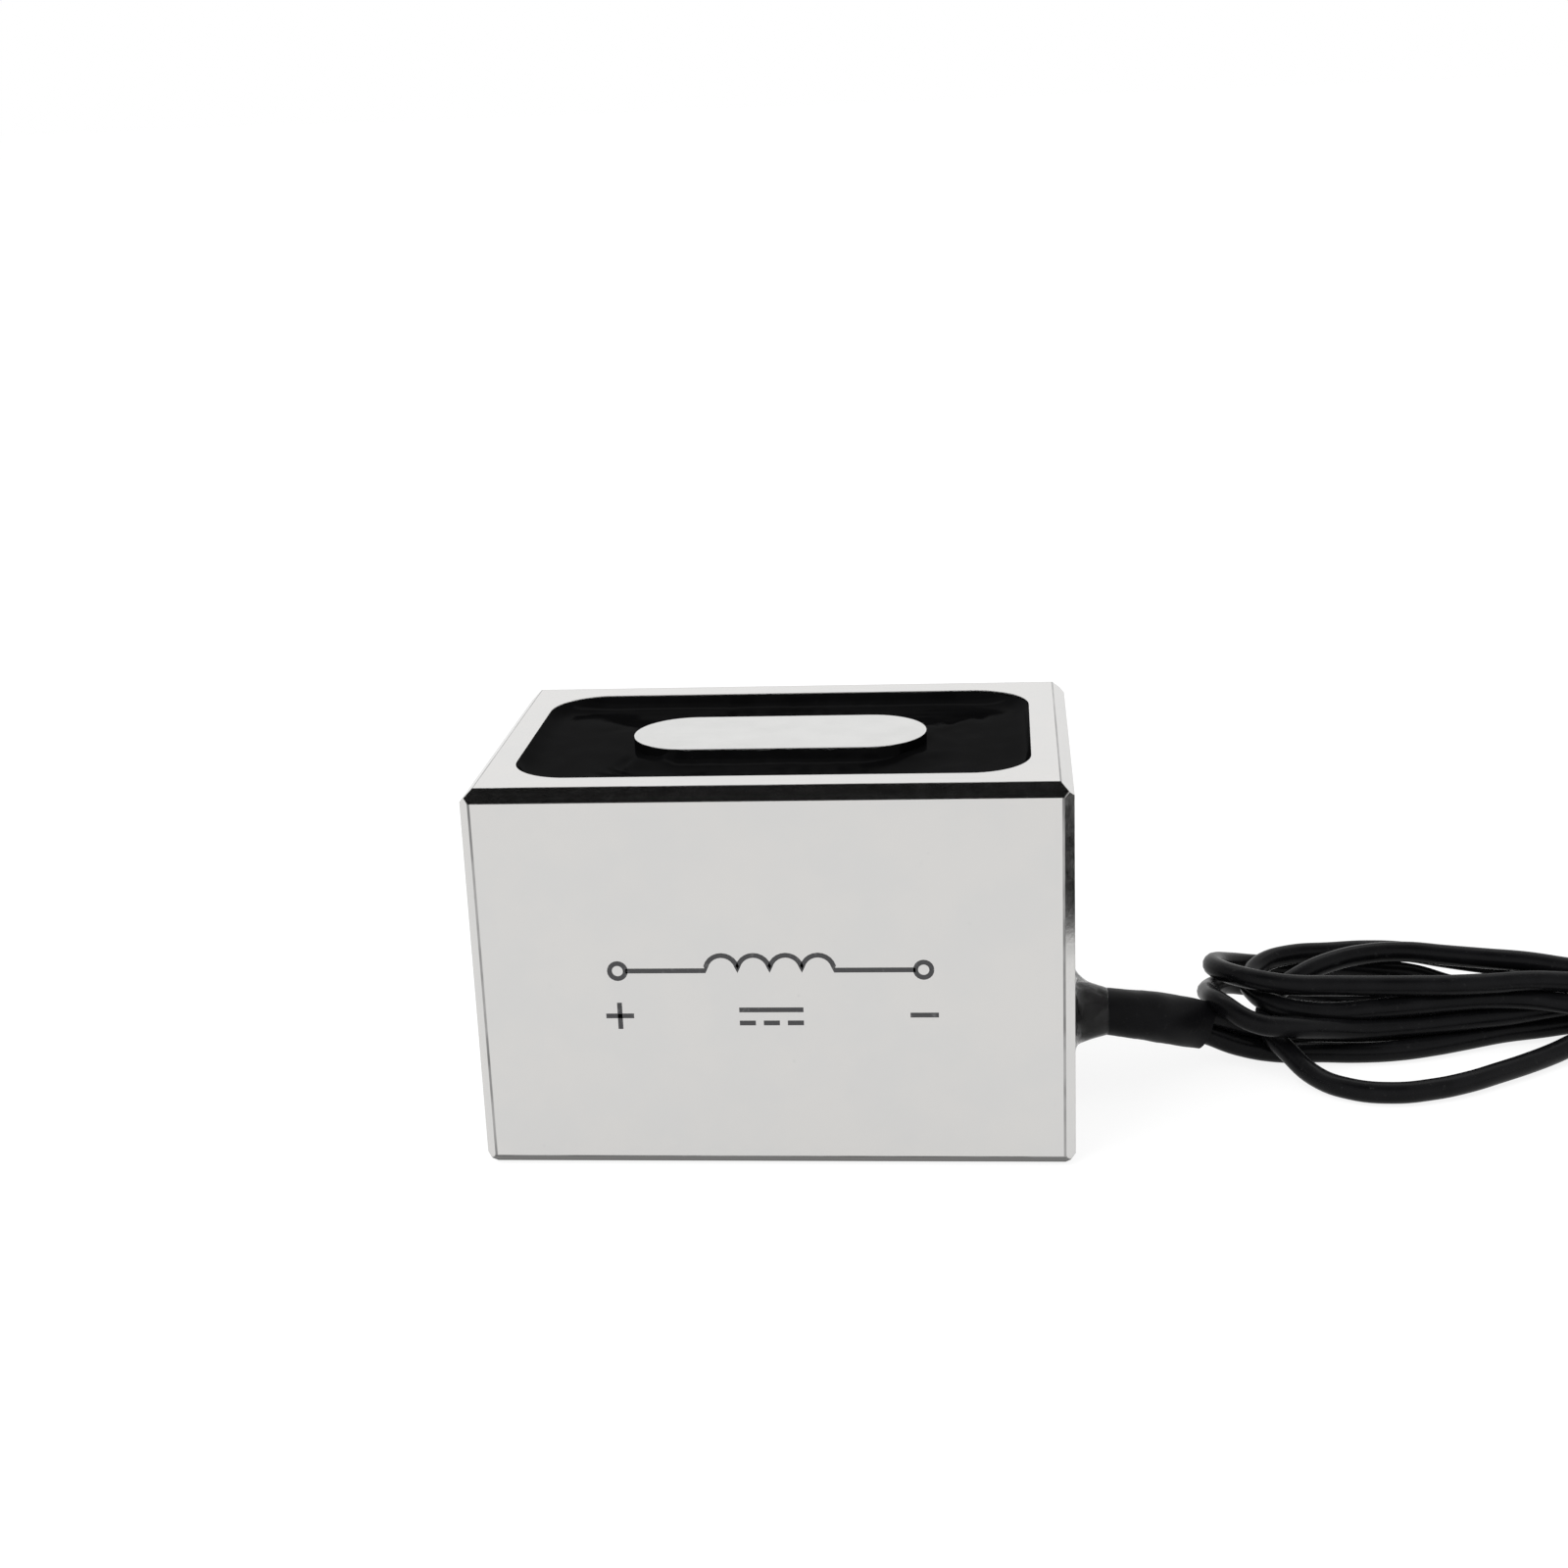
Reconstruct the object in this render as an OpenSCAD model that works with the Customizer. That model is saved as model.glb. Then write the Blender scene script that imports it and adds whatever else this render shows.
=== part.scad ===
// Rectangular holding electromagnet, pole face up, leads leaving low on the +X side.
// Origin: centre of the underside of the housing. Millimetres, +Z up.

/* [Housing] */
// Length of the steel housing along X
body_l = 30; // [28:1:60]
// Depth of the steel housing along Y
body_w = 20; // [19:1:40]
// Height of the steel housing
body_h = 20; // [16:1:50]
// Thickness of the housing wall at its two ends
end_wall = 2.0; // [1.5:0.1:2.5]
// Thickness of the housing wall along its two long sides
side_wall = 2.2; // [1.5:0.1:2.5]
// Thickness of the housing floor under the coil
floor_t = 2.5; // [2:0.1:2.6]
// Corner radius of the coil pocket
pocket_r = 3.0; // [2:0.1:3.5]
// Chamfer round the holding face
top_chamfer = 0.65; // [0.3:0.05:1]
// Chamfer of the upright and lower edges
edge_chamfer = 0.5; // [0.3:0.05:1]

/* [Core] */
// Length of the pole core along X
core_l = 15.3; // [12:0.1:16]
// Width of the pole core along Y
core_w = 6.1; // [5.5:0.1:7]
// Diameter of the spigot that is staked into the floor
spigot_d = 6.0; // [5:0.1:6.4]
// Radial gap between the spigot and its hole
spigot_gap = 0.02; // [0.01:0.01:0.1]
// Tapping drill of the M4 mounting thread
thread_drill_d = 3.3; // [2.5:0.1:4]
// Major diameter of the mounting thread, at the mouth chamfer
thread_major_d = 4.0; // [3:0.5:4.5]
// Depth of the full mounting bore
thread_depth = 8.0; // [5:0.5:12]

/* [Coil] */
// Gap between the core and the bobbin bore
bobbin_gap = 0.15; // [0.1:0.05:0.3]
// Wall of the bobbin tube
bobbin_wall = 0.6; // [0.4:0.1:0.8]
// Thickness of each bobbin flange
flange_t = 0.8; // [0.6:0.1:1]
// Gap between the flange rim and the pocket wall
flange_gap = 0.4; // [0.2:0.1:0.6]
// Distance that the long flange edges stand out past the winding
flange_lip = 1.0; // [0.8:0.1:1.5]
// Distance that the flange ends stand out past the winding, which leaves room for the joints
flange_end_lip = 1.6; // [1.6:0.1:2]
// Thickness of the tape over the winding
tape_t = 0.15; // [0.05:0.05:0.3]
// Bare margin of the winding above and below the tape
tape_margin = 0.7; // [0.5:0.1:2]
// Diameter of the enamelled wire at the two winding ends
magnet_wire_d = 0.24; // [0.1:0.02:0.3]
// Width of the slot in the lower flange for the inner winding end
slot_w = 0.5; // [0.4:0.1:0.8]
// Depth of that slot
slot_depth = 0.4; // [0.3:0.1:0.5]

/* [Potting] */
// Height of resin between the top of the bobbin and the resin face
potting_cover = 2.45; // [1.5:0.05:4]
// Distance from the holding face down to the resin
potting_recess = 0.55; // [0.2:0.05:1]
// Depth of the hollows in the resin beside the core
trough_depth = 0.35; // [0.1:0.05:0.8]
// Radius of those hollows across their length
trough_r = 4.0; // [3:0.5:12]

/* [Lead] */
// Height of the lead hole above the underside
lead_z = 4.2; // [4.2:0.1:8]
// Diameter of the lead hole in the end wall
lead_hole_d = 3.0; // [2.9:0.1:3.2]
// Diameter of one insulated lead
lead_d = 1.15; // [0.9:0.05:1.15]
// Distance between the centres of the two leads inside the sleeve
lead_pitch = 1.16; // [1.16:0.01:1.2]
// Outer diameter of the shrunk sleeve over both leads
sleeve_d = 2.7; // [2.65:0.05:2.85]
// Wall of the shrunk sleeve
sleeve_wall = 0.15; // [0.1:0.01:0.15]
// Diameter of the stranded conductor
conductor_d = 0.6; // [0.4:0.05:0.7]
// Length of each tinned end
tinned_l = 4.0; // [3:0.5:8]
// Diameter of a solder joint
joint_d = 0.9; // [0.8:0.05:0.95]
// Length of a solder joint
joint_l = 2.2; // [1.5:0.1:2.4]
// Outer diameter of the sleeve over a solder joint
joint_sleeve_d = 1.3; // [1.2:0.05:1.4]
// Wall of the sleeve over a solder joint
joint_sleeve_wall = 0.15; // [0.1:0.01:0.15]
// Length that the joint sleeve covers beyond each end of the joint
joint_sleeve_over = 0.3; // [0.2:0.05:0.35]

/* [Glue] */
// Radius of the glue fillet on the end wall
glue_r = 3.2; // [2.5:0.1:3.6]
// Distance that the glue climbs along the sleeve
glue_h = 1.7; // [1:0.1:1.7]

/* [Hank] */
// Length of the folded hank of spare lead
hank_l = 32; // [26:1:60]
// Width of the hank
hank_w = 9.2; // [8:0.1:14]
// Height of the hank
hank_h = 5.0; // [4.9:0.1:8]
// Distance from the end wall to the hank
hank_start = 7.0; // [7:0.1:7.2]
// Width of the band of the tie
tie_w = 2.4; // [2:0.1:4]
// Thickness of the band of the tie
tie_t = 0.5; // [0.3:0.1:0.6]
// Distance from the end wall to the middle of the tie
tie_at = 31; // [20:1:32]
// Width of the bundle inside the tie
waist_w = 5.0; // [4:0.1:7]
// Height of the bundle inside the tie
waist_h = 3.8; // [3:0.1:4]

/* [Hidden] */

round_sides = 64;
small_sides = 32;
lead_sides = 8;
sleeve_sides = 12;
past = 0.1;

pocket_l = body_l - 2 * end_wall;
pocket_w = body_w - 2 * side_wall;
spigot_hole_d = spigot_d + 2 * spigot_gap;
drill_point_h = thread_drill_d / 2 * tan(31);
mouth_h = (thread_major_d - thread_drill_d) / 2;

bore_l = core_l + 2 * bobbin_gap;
bore_w = core_w + 2 * bobbin_gap;
tube_l = bore_l + 2 * bobbin_wall;
tube_w = bore_w + 2 * bobbin_wall;
flange_l = pocket_l - 2 * flange_gap;
flange_w = pocket_w - 2 * flange_gap;
flange_r = pocket_r - flange_gap;
potting_top = body_h - potting_recess;
bobbin_top = potting_top - potting_cover;
winding_bottom = floor_t + flange_t;
winding_top = bobbin_top - flange_t;
winding_l = flange_l - 2 * flange_end_lip;
winding_w = flange_w - 2 * flange_lip;
trough_y = (core_w + pocket_w) / 4;

// Diameter of the round ends of an obround, and X of its outline at y.
function round_d(l, w) = min(l, w);
function obround_x(l, w, y) =
    (l - round_d(l, w)) / 2
    + sqrt(pow(round_d(l, w) / 2, 2) - pow(max(abs(y) - (w - round_d(l, w)) / 2, 0), 2));
function winding_x(y) = obround_x(winding_l, winding_w, y);

// How far a round corner of radius r draws back at a distance past the start of its curve.
function corner_back(r, over) = r - sqrt(pow(r, 2) - pow(max(over, 0), 2));

// The joints lie along the end wall, one on each side of the lead hole.
joint_start = 1.8;
joint_end = joint_start + joint_l;
joint_gap = 0.05;
joint_reach = joint_end + joint_sleeve_over;
joint_x = pocket_l / 2 - flange_gap - joint_sleeve_d / 2 - joint_gap
    - corner_back(flange_r, joint_reach - (flange_w / 2 - flange_r));
leave_angle = 44.7;
lead_inside = 2.5;
strip_from = body_l / 2 - lead_inside - 0.04;
slot_y = 2.5;
slot_z = winding_bottom - slot_depth / 2;
slot_from = obround_x(tube_l, tube_w, slot_y);

// Routes of the leads, each point as [distance from the end wall, y, z].
sleeve_route = [
    [-2, 0, lead_z], [0, 0, lead_z], [1.8, 0, lead_z],
    [3.6, 0.6, 3.8], [5.4, 1.5, 3.2], [7, 2.3, 2.6]
];
lead_a_route = [
    [-lead_inside, -lead_pitch / 2, lead_z], [0, -lead_pitch / 2, lead_z], [1.8, -lead_pitch / 2, lead_z],
    [3.6, 0.05, 3.45], [5.4, 1.22, 2.69], [7, 2.3, 2.02], [8.2, 2.6, 1.5], [9.4, 2.7, 1.1]
];
lead_b_route = [
    [-lead_inside, lead_pitch / 2, lead_z], [0, lead_pitch / 2, lead_z], [1.8, lead_pitch / 2, lead_z],
    [3.6, 1.15, 4.1], [5.4, 1.78, 3.71], [7, 2.3, 3.18], [8.2, 2.7, 2.7], [9.4, 3.0, 2.3]
];
// Square mouth of the hank that both leads enter: near and far corners.
mouth_low = [9.4, 1.9, 0];
mouth_high = [12, 3.8, 3.2];
tail_z = lead_d / 2;
hank_end = hank_start + hank_l;
hank_y = 6.4;
tail_l = 5;
tail_b_y = hank_y - hank_w / 2 - 0.5;
tail_a_y = tail_b_y + lead_d + 0.05;
tail_spread = 0.8;

// The turn of lead that lies loose on the ground in front of the hank.
loose_turn = [[13.2, 1.0, 1.2], [16, -1.9, 1.4], [19.5, -1.6, 1.7], [23, -1.2, 1.4], [28, 4, 1]];
loose_turn_h = 1.25;

function unit(v) = v / norm(v);
function heading(p, i, end) =
    i == len(p) - 1 && !is_undef(end) ? end : unit(p[min(i + 1, len(p) - 1)] - p[max(i - 1, 0)]);
function side_of(t) = unit(cross(t, [0, 0, 1]));
function ring(p, i, r, n, end) =
    let (t = heading(p, i, end), s = side_of(t), u = cross(s, t))
    [for (k = [0 : n - 1]) p[i] + r * (cos(360 * k / n) * s + sin(360 * k / n) * u)];
function rings(p, r, n, end) = [for (i = [0 : len(p) - 1]) each ring(p, i, r, n, end)];

// Side faces between ring i and ring i + 1, numbered from first; turned inwards if inner is set.
function ring_faces(count, n, first, inner) =
    [for (i = [0 : count - 2], k = [0 : n - 1])
        let (a = first + i * n + k, b = first + i * n + (k + 1) % n)
        inner ? [a, b, b + n, a + n] : [a, a + n, b + n, b]];

// Round rod swept along the points p. Its far end is square to the direction end, where one is given.
module swept_rod(p, d, n, end) {
    count = len(p);
    caps = [[for (k = [0 : n - 1]) k], [for (k = [0 : n - 1]) count * n - 1 - k]];
    polyhedron(rings(p, d / 2, n, end), concat(ring_faces(count, n, 0, false), caps), convexity = 6);
}

// Round tube swept along the points p.
module swept_tube(p, d, wall, n) {
    count = len(p);
    inner = count * n;
    last = (count - 1) * n;
    near = [for (k = [0 : n - 1]) [k, (k + 1) % n, inner + (k + 1) % n, inner + k]];
    far = [for (k = [0 : n - 1])
        [last + k, inner + last + k, inner + last + (k + 1) % n, last + (k + 1) % n]];
    polyhedron(
        concat(rings(p, d / 2, n), rings(p, d / 2 - wall, n)),
        concat(ring_faces(count, n, 0, false), ring_faces(count, n, inner, true), near, far),
        convexity = 8
    );
}

// Flat shape with two straight sides and two half-round ends.
module obround(l, w) {
    d = round_d(l, w);
    square([l > w ? l - d : l, l > w ? w : w - d], center = true);
    for (side = [-1, 1])
        translate([side * (l - d) / 2, side * (w - d) / 2]) circle(d = d, $fn = round_sides);
}

// Rectangle with round corners.
module rounded_rectangle(l, w, r) {
    square([l - 2 * r, w], center = true);
    square([l, w - 2 * r], center = true);
    for (sx = [-1, 1], sy = [-1, 1])
        translate([sx * (l / 2 - r), sy * (w / 2 - r)]) circle(r = r, $fn = round_sides);
}

// Upright slab between two heights from a flat shape.
module slab(z0, z1) {
    translate([0, 0, z0]) linear_extrude(height = z1 - z0) children();
}

// Outline of a block seen from the side, chamfered above and below.
module chamfered_side(width) {
    half = width / 2;
    polygon([
        [-half + edge_chamfer, 0], [half - edge_chamfer, 0], [half, edge_chamfer],
        [half, body_h - top_chamfer], [half - top_chamfer, body_h],
        [-half + top_chamfer, body_h], [-half, body_h - top_chamfer], [-half, edge_chamfer]
    ]);
}

module chamfered_plan() {
    hx = body_l / 2;
    hy = body_w / 2;
    c = edge_chamfer;
    polygon([
        [-hx + c, -hy], [hx - c, -hy], [hx, -hy + c], [hx, hy - c],
        [hx - c, hy], [-hx + c, hy], [-hx, hy - c], [-hx, -hy + c]
    ]);
}

module chamfered_block() {
    intersection() {
        linear_extrude(height = body_h) chamfered_plan();
        rotate([90, 0, 0]) linear_extrude(height = body_w, center = true) chamfered_side(body_l);
        rotate([90, 0, 90]) linear_extrude(height = body_l, center = true) chamfered_side(body_w);
    }
}

// Bar along X that cuts the lead hole, from the inside of the pocket to past the end wall.
module lead_hole_cut() {
    translate([pocket_l / 2 - 2 * flange_gap, 0, lead_z]) rotate([0, 90, 0])
        cylinder(d = lead_hole_d, h = end_wall + 3 * flange_gap + past, $fn = round_sides);
}

module housing() {
    color([0.80, 0.79, 0.78]) difference() {
        chamfered_block();
        slab(floor_t, body_h + past) rounded_rectangle(pocket_l, pocket_w, pocket_r);
        translate([0, 0, -past]) cylinder(d = spigot_hole_d, h = floor_t + 2 * past, $fn = round_sides);
        lead_hole_cut();
    }
}

module core() {
    color([0.86, 0.86, 0.85]) difference() {
        union() {
            slab(floor_t, body_h) obround(core_l, core_w);
            cylinder(d = spigot_d, h = floor_t + past, $fn = round_sides);
        }
        translate([0, 0, -past]) cylinder(d = thread_drill_d, h = thread_depth + past, $fn = round_sides);
        translate([0, 0, thread_depth - 0.001])
            cylinder(d1 = thread_drill_d, d2 = 0, h = drill_point_h, $fn = round_sides);
        translate([0, 0, -0.001])
            cylinder(d1 = thread_major_d, d2 = thread_drill_d, h = mouth_h, $fn = round_sides);
    }
}

module bobbin() {
    color([0.93, 0.91, 0.84]) difference() {
        union() {
            slab(floor_t, bobbin_top) obround(tube_l, tube_w);
            slab(floor_t, winding_bottom) rounded_rectangle(flange_l, flange_w, flange_r);
            slab(winding_top, bobbin_top) rounded_rectangle(flange_l, flange_w, flange_r);
        }
        slab(floor_t - past, bobbin_top + past) obround(bore_l, bore_w);
        translate([slot_from + 0.02, slot_y - slot_w / 2, winding_bottom - slot_depth])
            cube([flange_l, slot_w, slot_depth + past / 2]);
    }
}

module winding() {
    color([0.72, 0.38, 0.18]) slab(winding_bottom, winding_top) difference() {
        obround(winding_l, winding_w);
        obround(tube_l, tube_w);
    }
}

module coil_tape() {
    color([0.85, 0.72, 0.25]) slab(winding_bottom + tape_margin, winding_top - tape_margin) difference() {
        obround(winding_l + 2 * tape_t, winding_w + 2 * tape_t);
        obround(winding_l, winding_w);
    }
}

// Inner end of the winding: out along the flange slot, then up to its joint.
module start_tail() {
    low = slot_z;
    rise = winding_bottom + 0.25;
    edge = winding_x(slot_y);
    color([0.72, 0.38, 0.18]) swept_rod([
        [slot_from + 0.15, slot_y, low], [edge - 0.2, slot_y, low], [edge + 0.35, slot_y + 0.2, rise],
        [edge + 0.45, slot_y + 1.2, rise], [joint_x - 0.45, joint_end + 0.75, (rise + lead_z) / 2 - 0.1],
        [joint_x, joint_end + 0.5, lead_z - 0.1], [joint_x, joint_end, lead_z]
    ], magnet_wire_d, lead_sides);
}

// Outer end of the winding: off the outer layer below the tape, then to its joint.
module finish_tail() {
    low = winding_bottom + magnet_wire_d / 2 + 0.1;
    leave_y = -winding_w / 2 * sin(leave_angle);
    color([0.72, 0.38, 0.18]) swept_rod([
        [winding_x(leave_y) + magnet_wire_d / 2 + 0.02, leave_y, low],
        [winding_x(leave_y) + 0.9, leave_y - 0.6, low],
        [joint_x - 0.4, -joint_end - 0.9, (low + lead_z) / 2],
        [joint_x, -joint_end - 0.5, lead_z - 0.1], [joint_x, -joint_end, lead_z]
    ], magnet_wire_d, lead_sides);
}

// Soldered splice between a winding end and a lead, on the side of the hole that side gives.
module splice(side) {
    translate([joint_x, side * joint_start, lead_z]) rotate([-90 * side, 0, 0])
        cylinder(d = joint_d, h = joint_l, $fn = small_sides);
}

module splice_sleeve(side) {
    length = joint_l + 2 * joint_sleeve_over;
    translate([joint_x, side * (joint_start - joint_sleeve_over), lead_z]) rotate([-90 * side, 0, 0])
        difference() {
            cylinder(d = joint_sleeve_d, h = length, $fn = small_sides);
            translate([0, 0, -past])
                cylinder(d = joint_sleeve_d - 2 * joint_sleeve_wall, h = length + 2 * past, $fn = small_sides);
        }
}

module start_joint() {
    color([0.75, 0.76, 0.78]) splice(1);
}

module finish_joint() {
    color([0.75, 0.76, 0.78]) splice(-1);
}

module start_joint_sleeve() {
    color([0.95, 0.94, 0.90]) splice_sleeve(1);
}

module finish_joint_sleeve() {
    color([0.95, 0.94, 0.90]) splice_sleeve(-1);
}

// Stripped end of a lead, from its insulation round to the joint.
module stripped_end(side) {
    swept_rod([
        [strip_from, side * lead_pitch / 2, lead_z], [joint_x + 0.25, side * (lead_pitch / 2 + 0.1), lead_z],
        [joint_x, side * (lead_pitch / 2 + 0.45), lead_z], [joint_x, side * joint_start, lead_z]
    ], conductor_d, lead_sides);
}

module lead_a_strip() {
    color([0.80, 0.55, 0.35]) stripped_end(-1);
}

module lead_b_strip() {
    color([0.80, 0.55, 0.35]) stripped_end(1);
}

module potting() {
    color([0.05, 0.05, 0.055]) difference() {
        slab(floor_t, potting_top) rounded_rectangle(pocket_l, pocket_w, pocket_r);
        slab(floor_t - past, bobbin_top) rounded_rectangle(flange_l, flange_w, flange_r);
        slab(bobbin_top - past, body_h) obround(core_l, core_w);
        lead_hole_cut();
        for (side = [-1, 1])
            translate([0, side * trough_y, potting_top - trough_depth + trough_r]) rotate([0, 90, 0])
                cylinder(r = trough_r, h = core_l, center = true, $fn = round_sides);
    }
}

module glue_seal() {
    inner = sleeve_d / 2;
    hole = lead_hole_d / 2;
    rise = glue_r - inner;
    color([0.62, 0.62, 0.62]) translate([body_l / 2, 0, lead_z]) rotate([0, 90, 0])
        rotate_extrude($fn = round_sides) polygon([
            [inner, -end_wall], [hole, -end_wall], [hole, 0], [glue_r, 0],
            [inner + 0.72 * rise, 0.1 * glue_h], [inner + 0.42 * rise, 0.28 * glue_h],
            [inner + 0.2 * rise, 0.58 * glue_h], [inner + 0.06 * rise, glue_h], [inner, glue_h]
        ]);
}

// Moves what is given from the end wall to its place on the housing.
module from_end_wall() {
    translate([body_l / 2, 0, 0]) children();
}

module lead_sleeve() {
    color([0.06, 0.06, 0.065]) from_end_wall()
        swept_tube(sleeve_route, sleeve_d, sleeve_wall, sleeve_sides);
}

module lead_a() {
    color([0.09, 0.09, 0.095]) from_end_wall() swept_rod(lead_a_route, lead_d, lead_sides, [1, 0, 0]);
}

module lead_b() {
    color([0.09, 0.09, 0.095]) from_end_wall() swept_rod(lead_b_route, lead_d, lead_sides, [1, 0, 0]);
}

// Flat outline of the hank between two distances from the end wall.
module hank_outline(from, to) {
    intersection() {
        translate([hank_start + hank_l / 2, hank_y]) obround(hank_l, hank_w);
        translate([from, hank_y - hank_w]) square([to - from, 2 * hank_w]);
    }
}

// Folded spare length of both leads, pinched where the tie goes round it.
module lead_hank() {
    groove = tie_w / 2 + 0.1;
    color([0.09, 0.09, 0.095]) from_end_wall() {
        linear_extrude(height = hank_h) difference() {
            hank_outline(hank_start, tie_at - groove);
            translate([hank_start - past, 0]) square([mouth_low[0] - hank_start + past, mouth_high[1]]);
        }
        linear_extrude(height = hank_h) hank_outline(tie_at + groove, hank_end);
        translate(mouth_low) cube(mouth_high - mouth_low);
        translate([tie_at - groove - past, hank_y - waist_w / 2, tie_t])
            cube([2 * (groove + past), waist_w, waist_h]);
        for (i = [0 : len(loose_turn) - 2])
            linear_extrude(height = loose_turn_h) hull()
                for (j = [i, i + 1])
                    translate([loose_turn[j][0], loose_turn[j][1]]) circle(r = loose_turn[j][2], $fn = small_sides);
    }
}

module hank_tie() {
    color([0.07, 0.07, 0.075]) from_end_wall() translate([tie_at - tie_w / 2, hank_y, 0])
        difference() {
            translate([0, -waist_w / 2 - tie_t, 0]) cube([tie_w, waist_w + 2 * tie_t, waist_h + 2 * tie_t]);
            translate([-past, -waist_w / 2, tie_t]) cube([tie_w + 2 * past, waist_w, waist_h]);
        }
}

// How far the round end of the hank draws back where a lead leaves it at y.
function draw_back(y) = corner_back(hank_w / 2, abs(y - hank_y) - lead_d / 2);

// Free end of a lead, which leaves the front of the hank and bends away from it.
function tail_points(y) = [
    [hank_end - draw_back(y), y, tail_z], [hank_end + tail_l / 2, y - tail_spread / 2, tail_z],
    [hank_end + tail_l, y - tail_spread, tail_z]
];

module tinned_end(y) {
    p = tail_points(y);
    swept_rod([p[2], p[2] + tinned_l * unit(p[2] - p[1])], conductor_d, lead_sides);
}

module lead_a_tail() {
    color([0.09, 0.09, 0.095]) from_end_wall() swept_rod(tail_points(tail_a_y), lead_d, lead_sides);
}

module lead_b_tail() {
    color([0.09, 0.09, 0.095]) from_end_wall() swept_rod(tail_points(tail_b_y), lead_d, lead_sides);
}

module lead_a_end() {
    color([0.75, 0.76, 0.78]) from_end_wall() tinned_end(tail_a_y);
}

module lead_b_end() {
    color([0.75, 0.76, 0.78]) from_end_wall() tinned_end(tail_b_y);
}

housing();
core();
bobbin();
winding();
coil_tape();
start_tail();
finish_tail();
start_joint();
finish_joint();
start_joint_sleeve();
finish_joint_sleeve();
lead_a_strip();
lead_b_strip();
potting();
glue_seal();
lead_sleeve();
lead_a();
lead_b();
lead_hank();
hank_tie();
lead_a_tail();
lead_b_tail();
lead_a_end();
lead_b_end();
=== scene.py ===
"""Holding electromagnet: leads, resin, glue, sleeve, tie, thread, print, and a finish for every part.

Everything is in metres in the row frame: the housing stands on z = 0, its front is at -y and the leads
leave at +x. Tables of points are in millimetres.
"""
import math

import bmesh
import bpy
from bpy.props import FloatProperty, FloatVectorProperty, PointerProperty
from mathutils import Matrix, Vector, noise


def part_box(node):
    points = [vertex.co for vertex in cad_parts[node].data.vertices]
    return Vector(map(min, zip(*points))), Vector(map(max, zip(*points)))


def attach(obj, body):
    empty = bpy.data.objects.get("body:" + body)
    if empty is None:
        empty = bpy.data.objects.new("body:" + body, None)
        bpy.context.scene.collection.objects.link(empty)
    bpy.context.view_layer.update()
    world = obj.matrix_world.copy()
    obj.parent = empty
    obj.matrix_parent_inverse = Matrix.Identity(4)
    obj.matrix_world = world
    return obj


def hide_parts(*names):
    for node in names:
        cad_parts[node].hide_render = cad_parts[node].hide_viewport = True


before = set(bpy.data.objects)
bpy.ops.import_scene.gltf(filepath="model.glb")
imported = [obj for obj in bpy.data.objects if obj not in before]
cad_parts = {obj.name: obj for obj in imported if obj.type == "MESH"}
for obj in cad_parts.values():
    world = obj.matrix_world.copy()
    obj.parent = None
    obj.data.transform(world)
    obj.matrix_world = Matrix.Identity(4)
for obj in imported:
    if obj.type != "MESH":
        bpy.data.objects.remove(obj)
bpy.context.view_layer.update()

MM = 0.001
# The housing in millimetres: half its length and width, its height and its chamfers.
HALF_X, HALF_Y, TOP, CHAMFER = 15.0, 10.0, 20.0, 0.5
END_WALL_X = HALF_X
FRONT_Y = -HALF_Y
# Height at which the leads leave the end wall.
LEAD_Z = 4.2

bl_info = {
    "name": "Holding electromagnet",
    "version": (1, 0, 0),
    "blender": (4, 5, 0),
    "location": "View3D > Sidebar > Electromagnet",
    "description": "Dresses the holding electromagnet with its leads, resin, glue, print and finishes",
    "category": "Object",
}


# ---------------------------------------------------------------- settings


def length(name, text, value):
    return FloatProperty(name=name, description=text, default=value, min=0.0, unit="LENGTH", precision=5)


def colour(name, text, value):
    return FloatVectorProperty(
        name=name, description=text, default=value, min=0.0, max=1.0, size=3, subtype="COLOR"
    )


def amount(name, text, value):
    return FloatProperty(name=name, description=text, default=value, min=0.0, max=1.0, subtype="FACTOR")


class LeadSettings(bpy.types.PropertyGroup):
    """The two leads and their tie."""

    diameter: length("Lead diameter", "Outside diameter of one insulated lead", 1.15 * MM)
    sleeve_wall: length("Sleeve wall", "Wall of the shrunk sleeve", 0.15 * MM)
    insulation: colour("Insulation", "Colour of the lead insulation", (0.003, 0.003, 0.0034))
    sleeve: colour("Sleeve", "Colour of the shrink sleeve", (0.0026, 0.0026, 0.003))
    tie: colour("Tie", "Colour of the tie", (0.006, 0.006, 0.0065))


class BodySettings(bpy.types.PropertyGroup):
    """The housing, the pole and the resin."""

    steel: colour("Housing steel", "Colour of the plated housing", (0.665, 0.65, 0.628))
    pole: colour("Pole steel", "Colour of the ground pole", (0.70, 0.70, 0.69))
    steel_roughness: amount("Housing roughness", "Roughness of the plated housing", 0.17)
    resin: colour("Resin", "Colour of the casting resin", (0.0018, 0.0018, 0.0019))
    meniscus: length("Meniscus", "Height that the resin climbs at its edges", 0.50 * MM)
    print_ink: colour("Print", "Colour of the printed symbols", (0.035, 0.035, 0.037))


class StageSettings(bpy.types.PropertyGroup):
    """Floor and backdrop."""

    floor: colour("Floor", "Colour of the floor", (0.86, 0.86, 0.86))
    floor_size: length("Floor size", "Length of a side of the floor", 6.0)


GROUPS = {"em_leads": LeadSettings, "em_body": BodySettings, "em_stage": StageSettings}


# ---------------------------------------------------------------- materials


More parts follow.
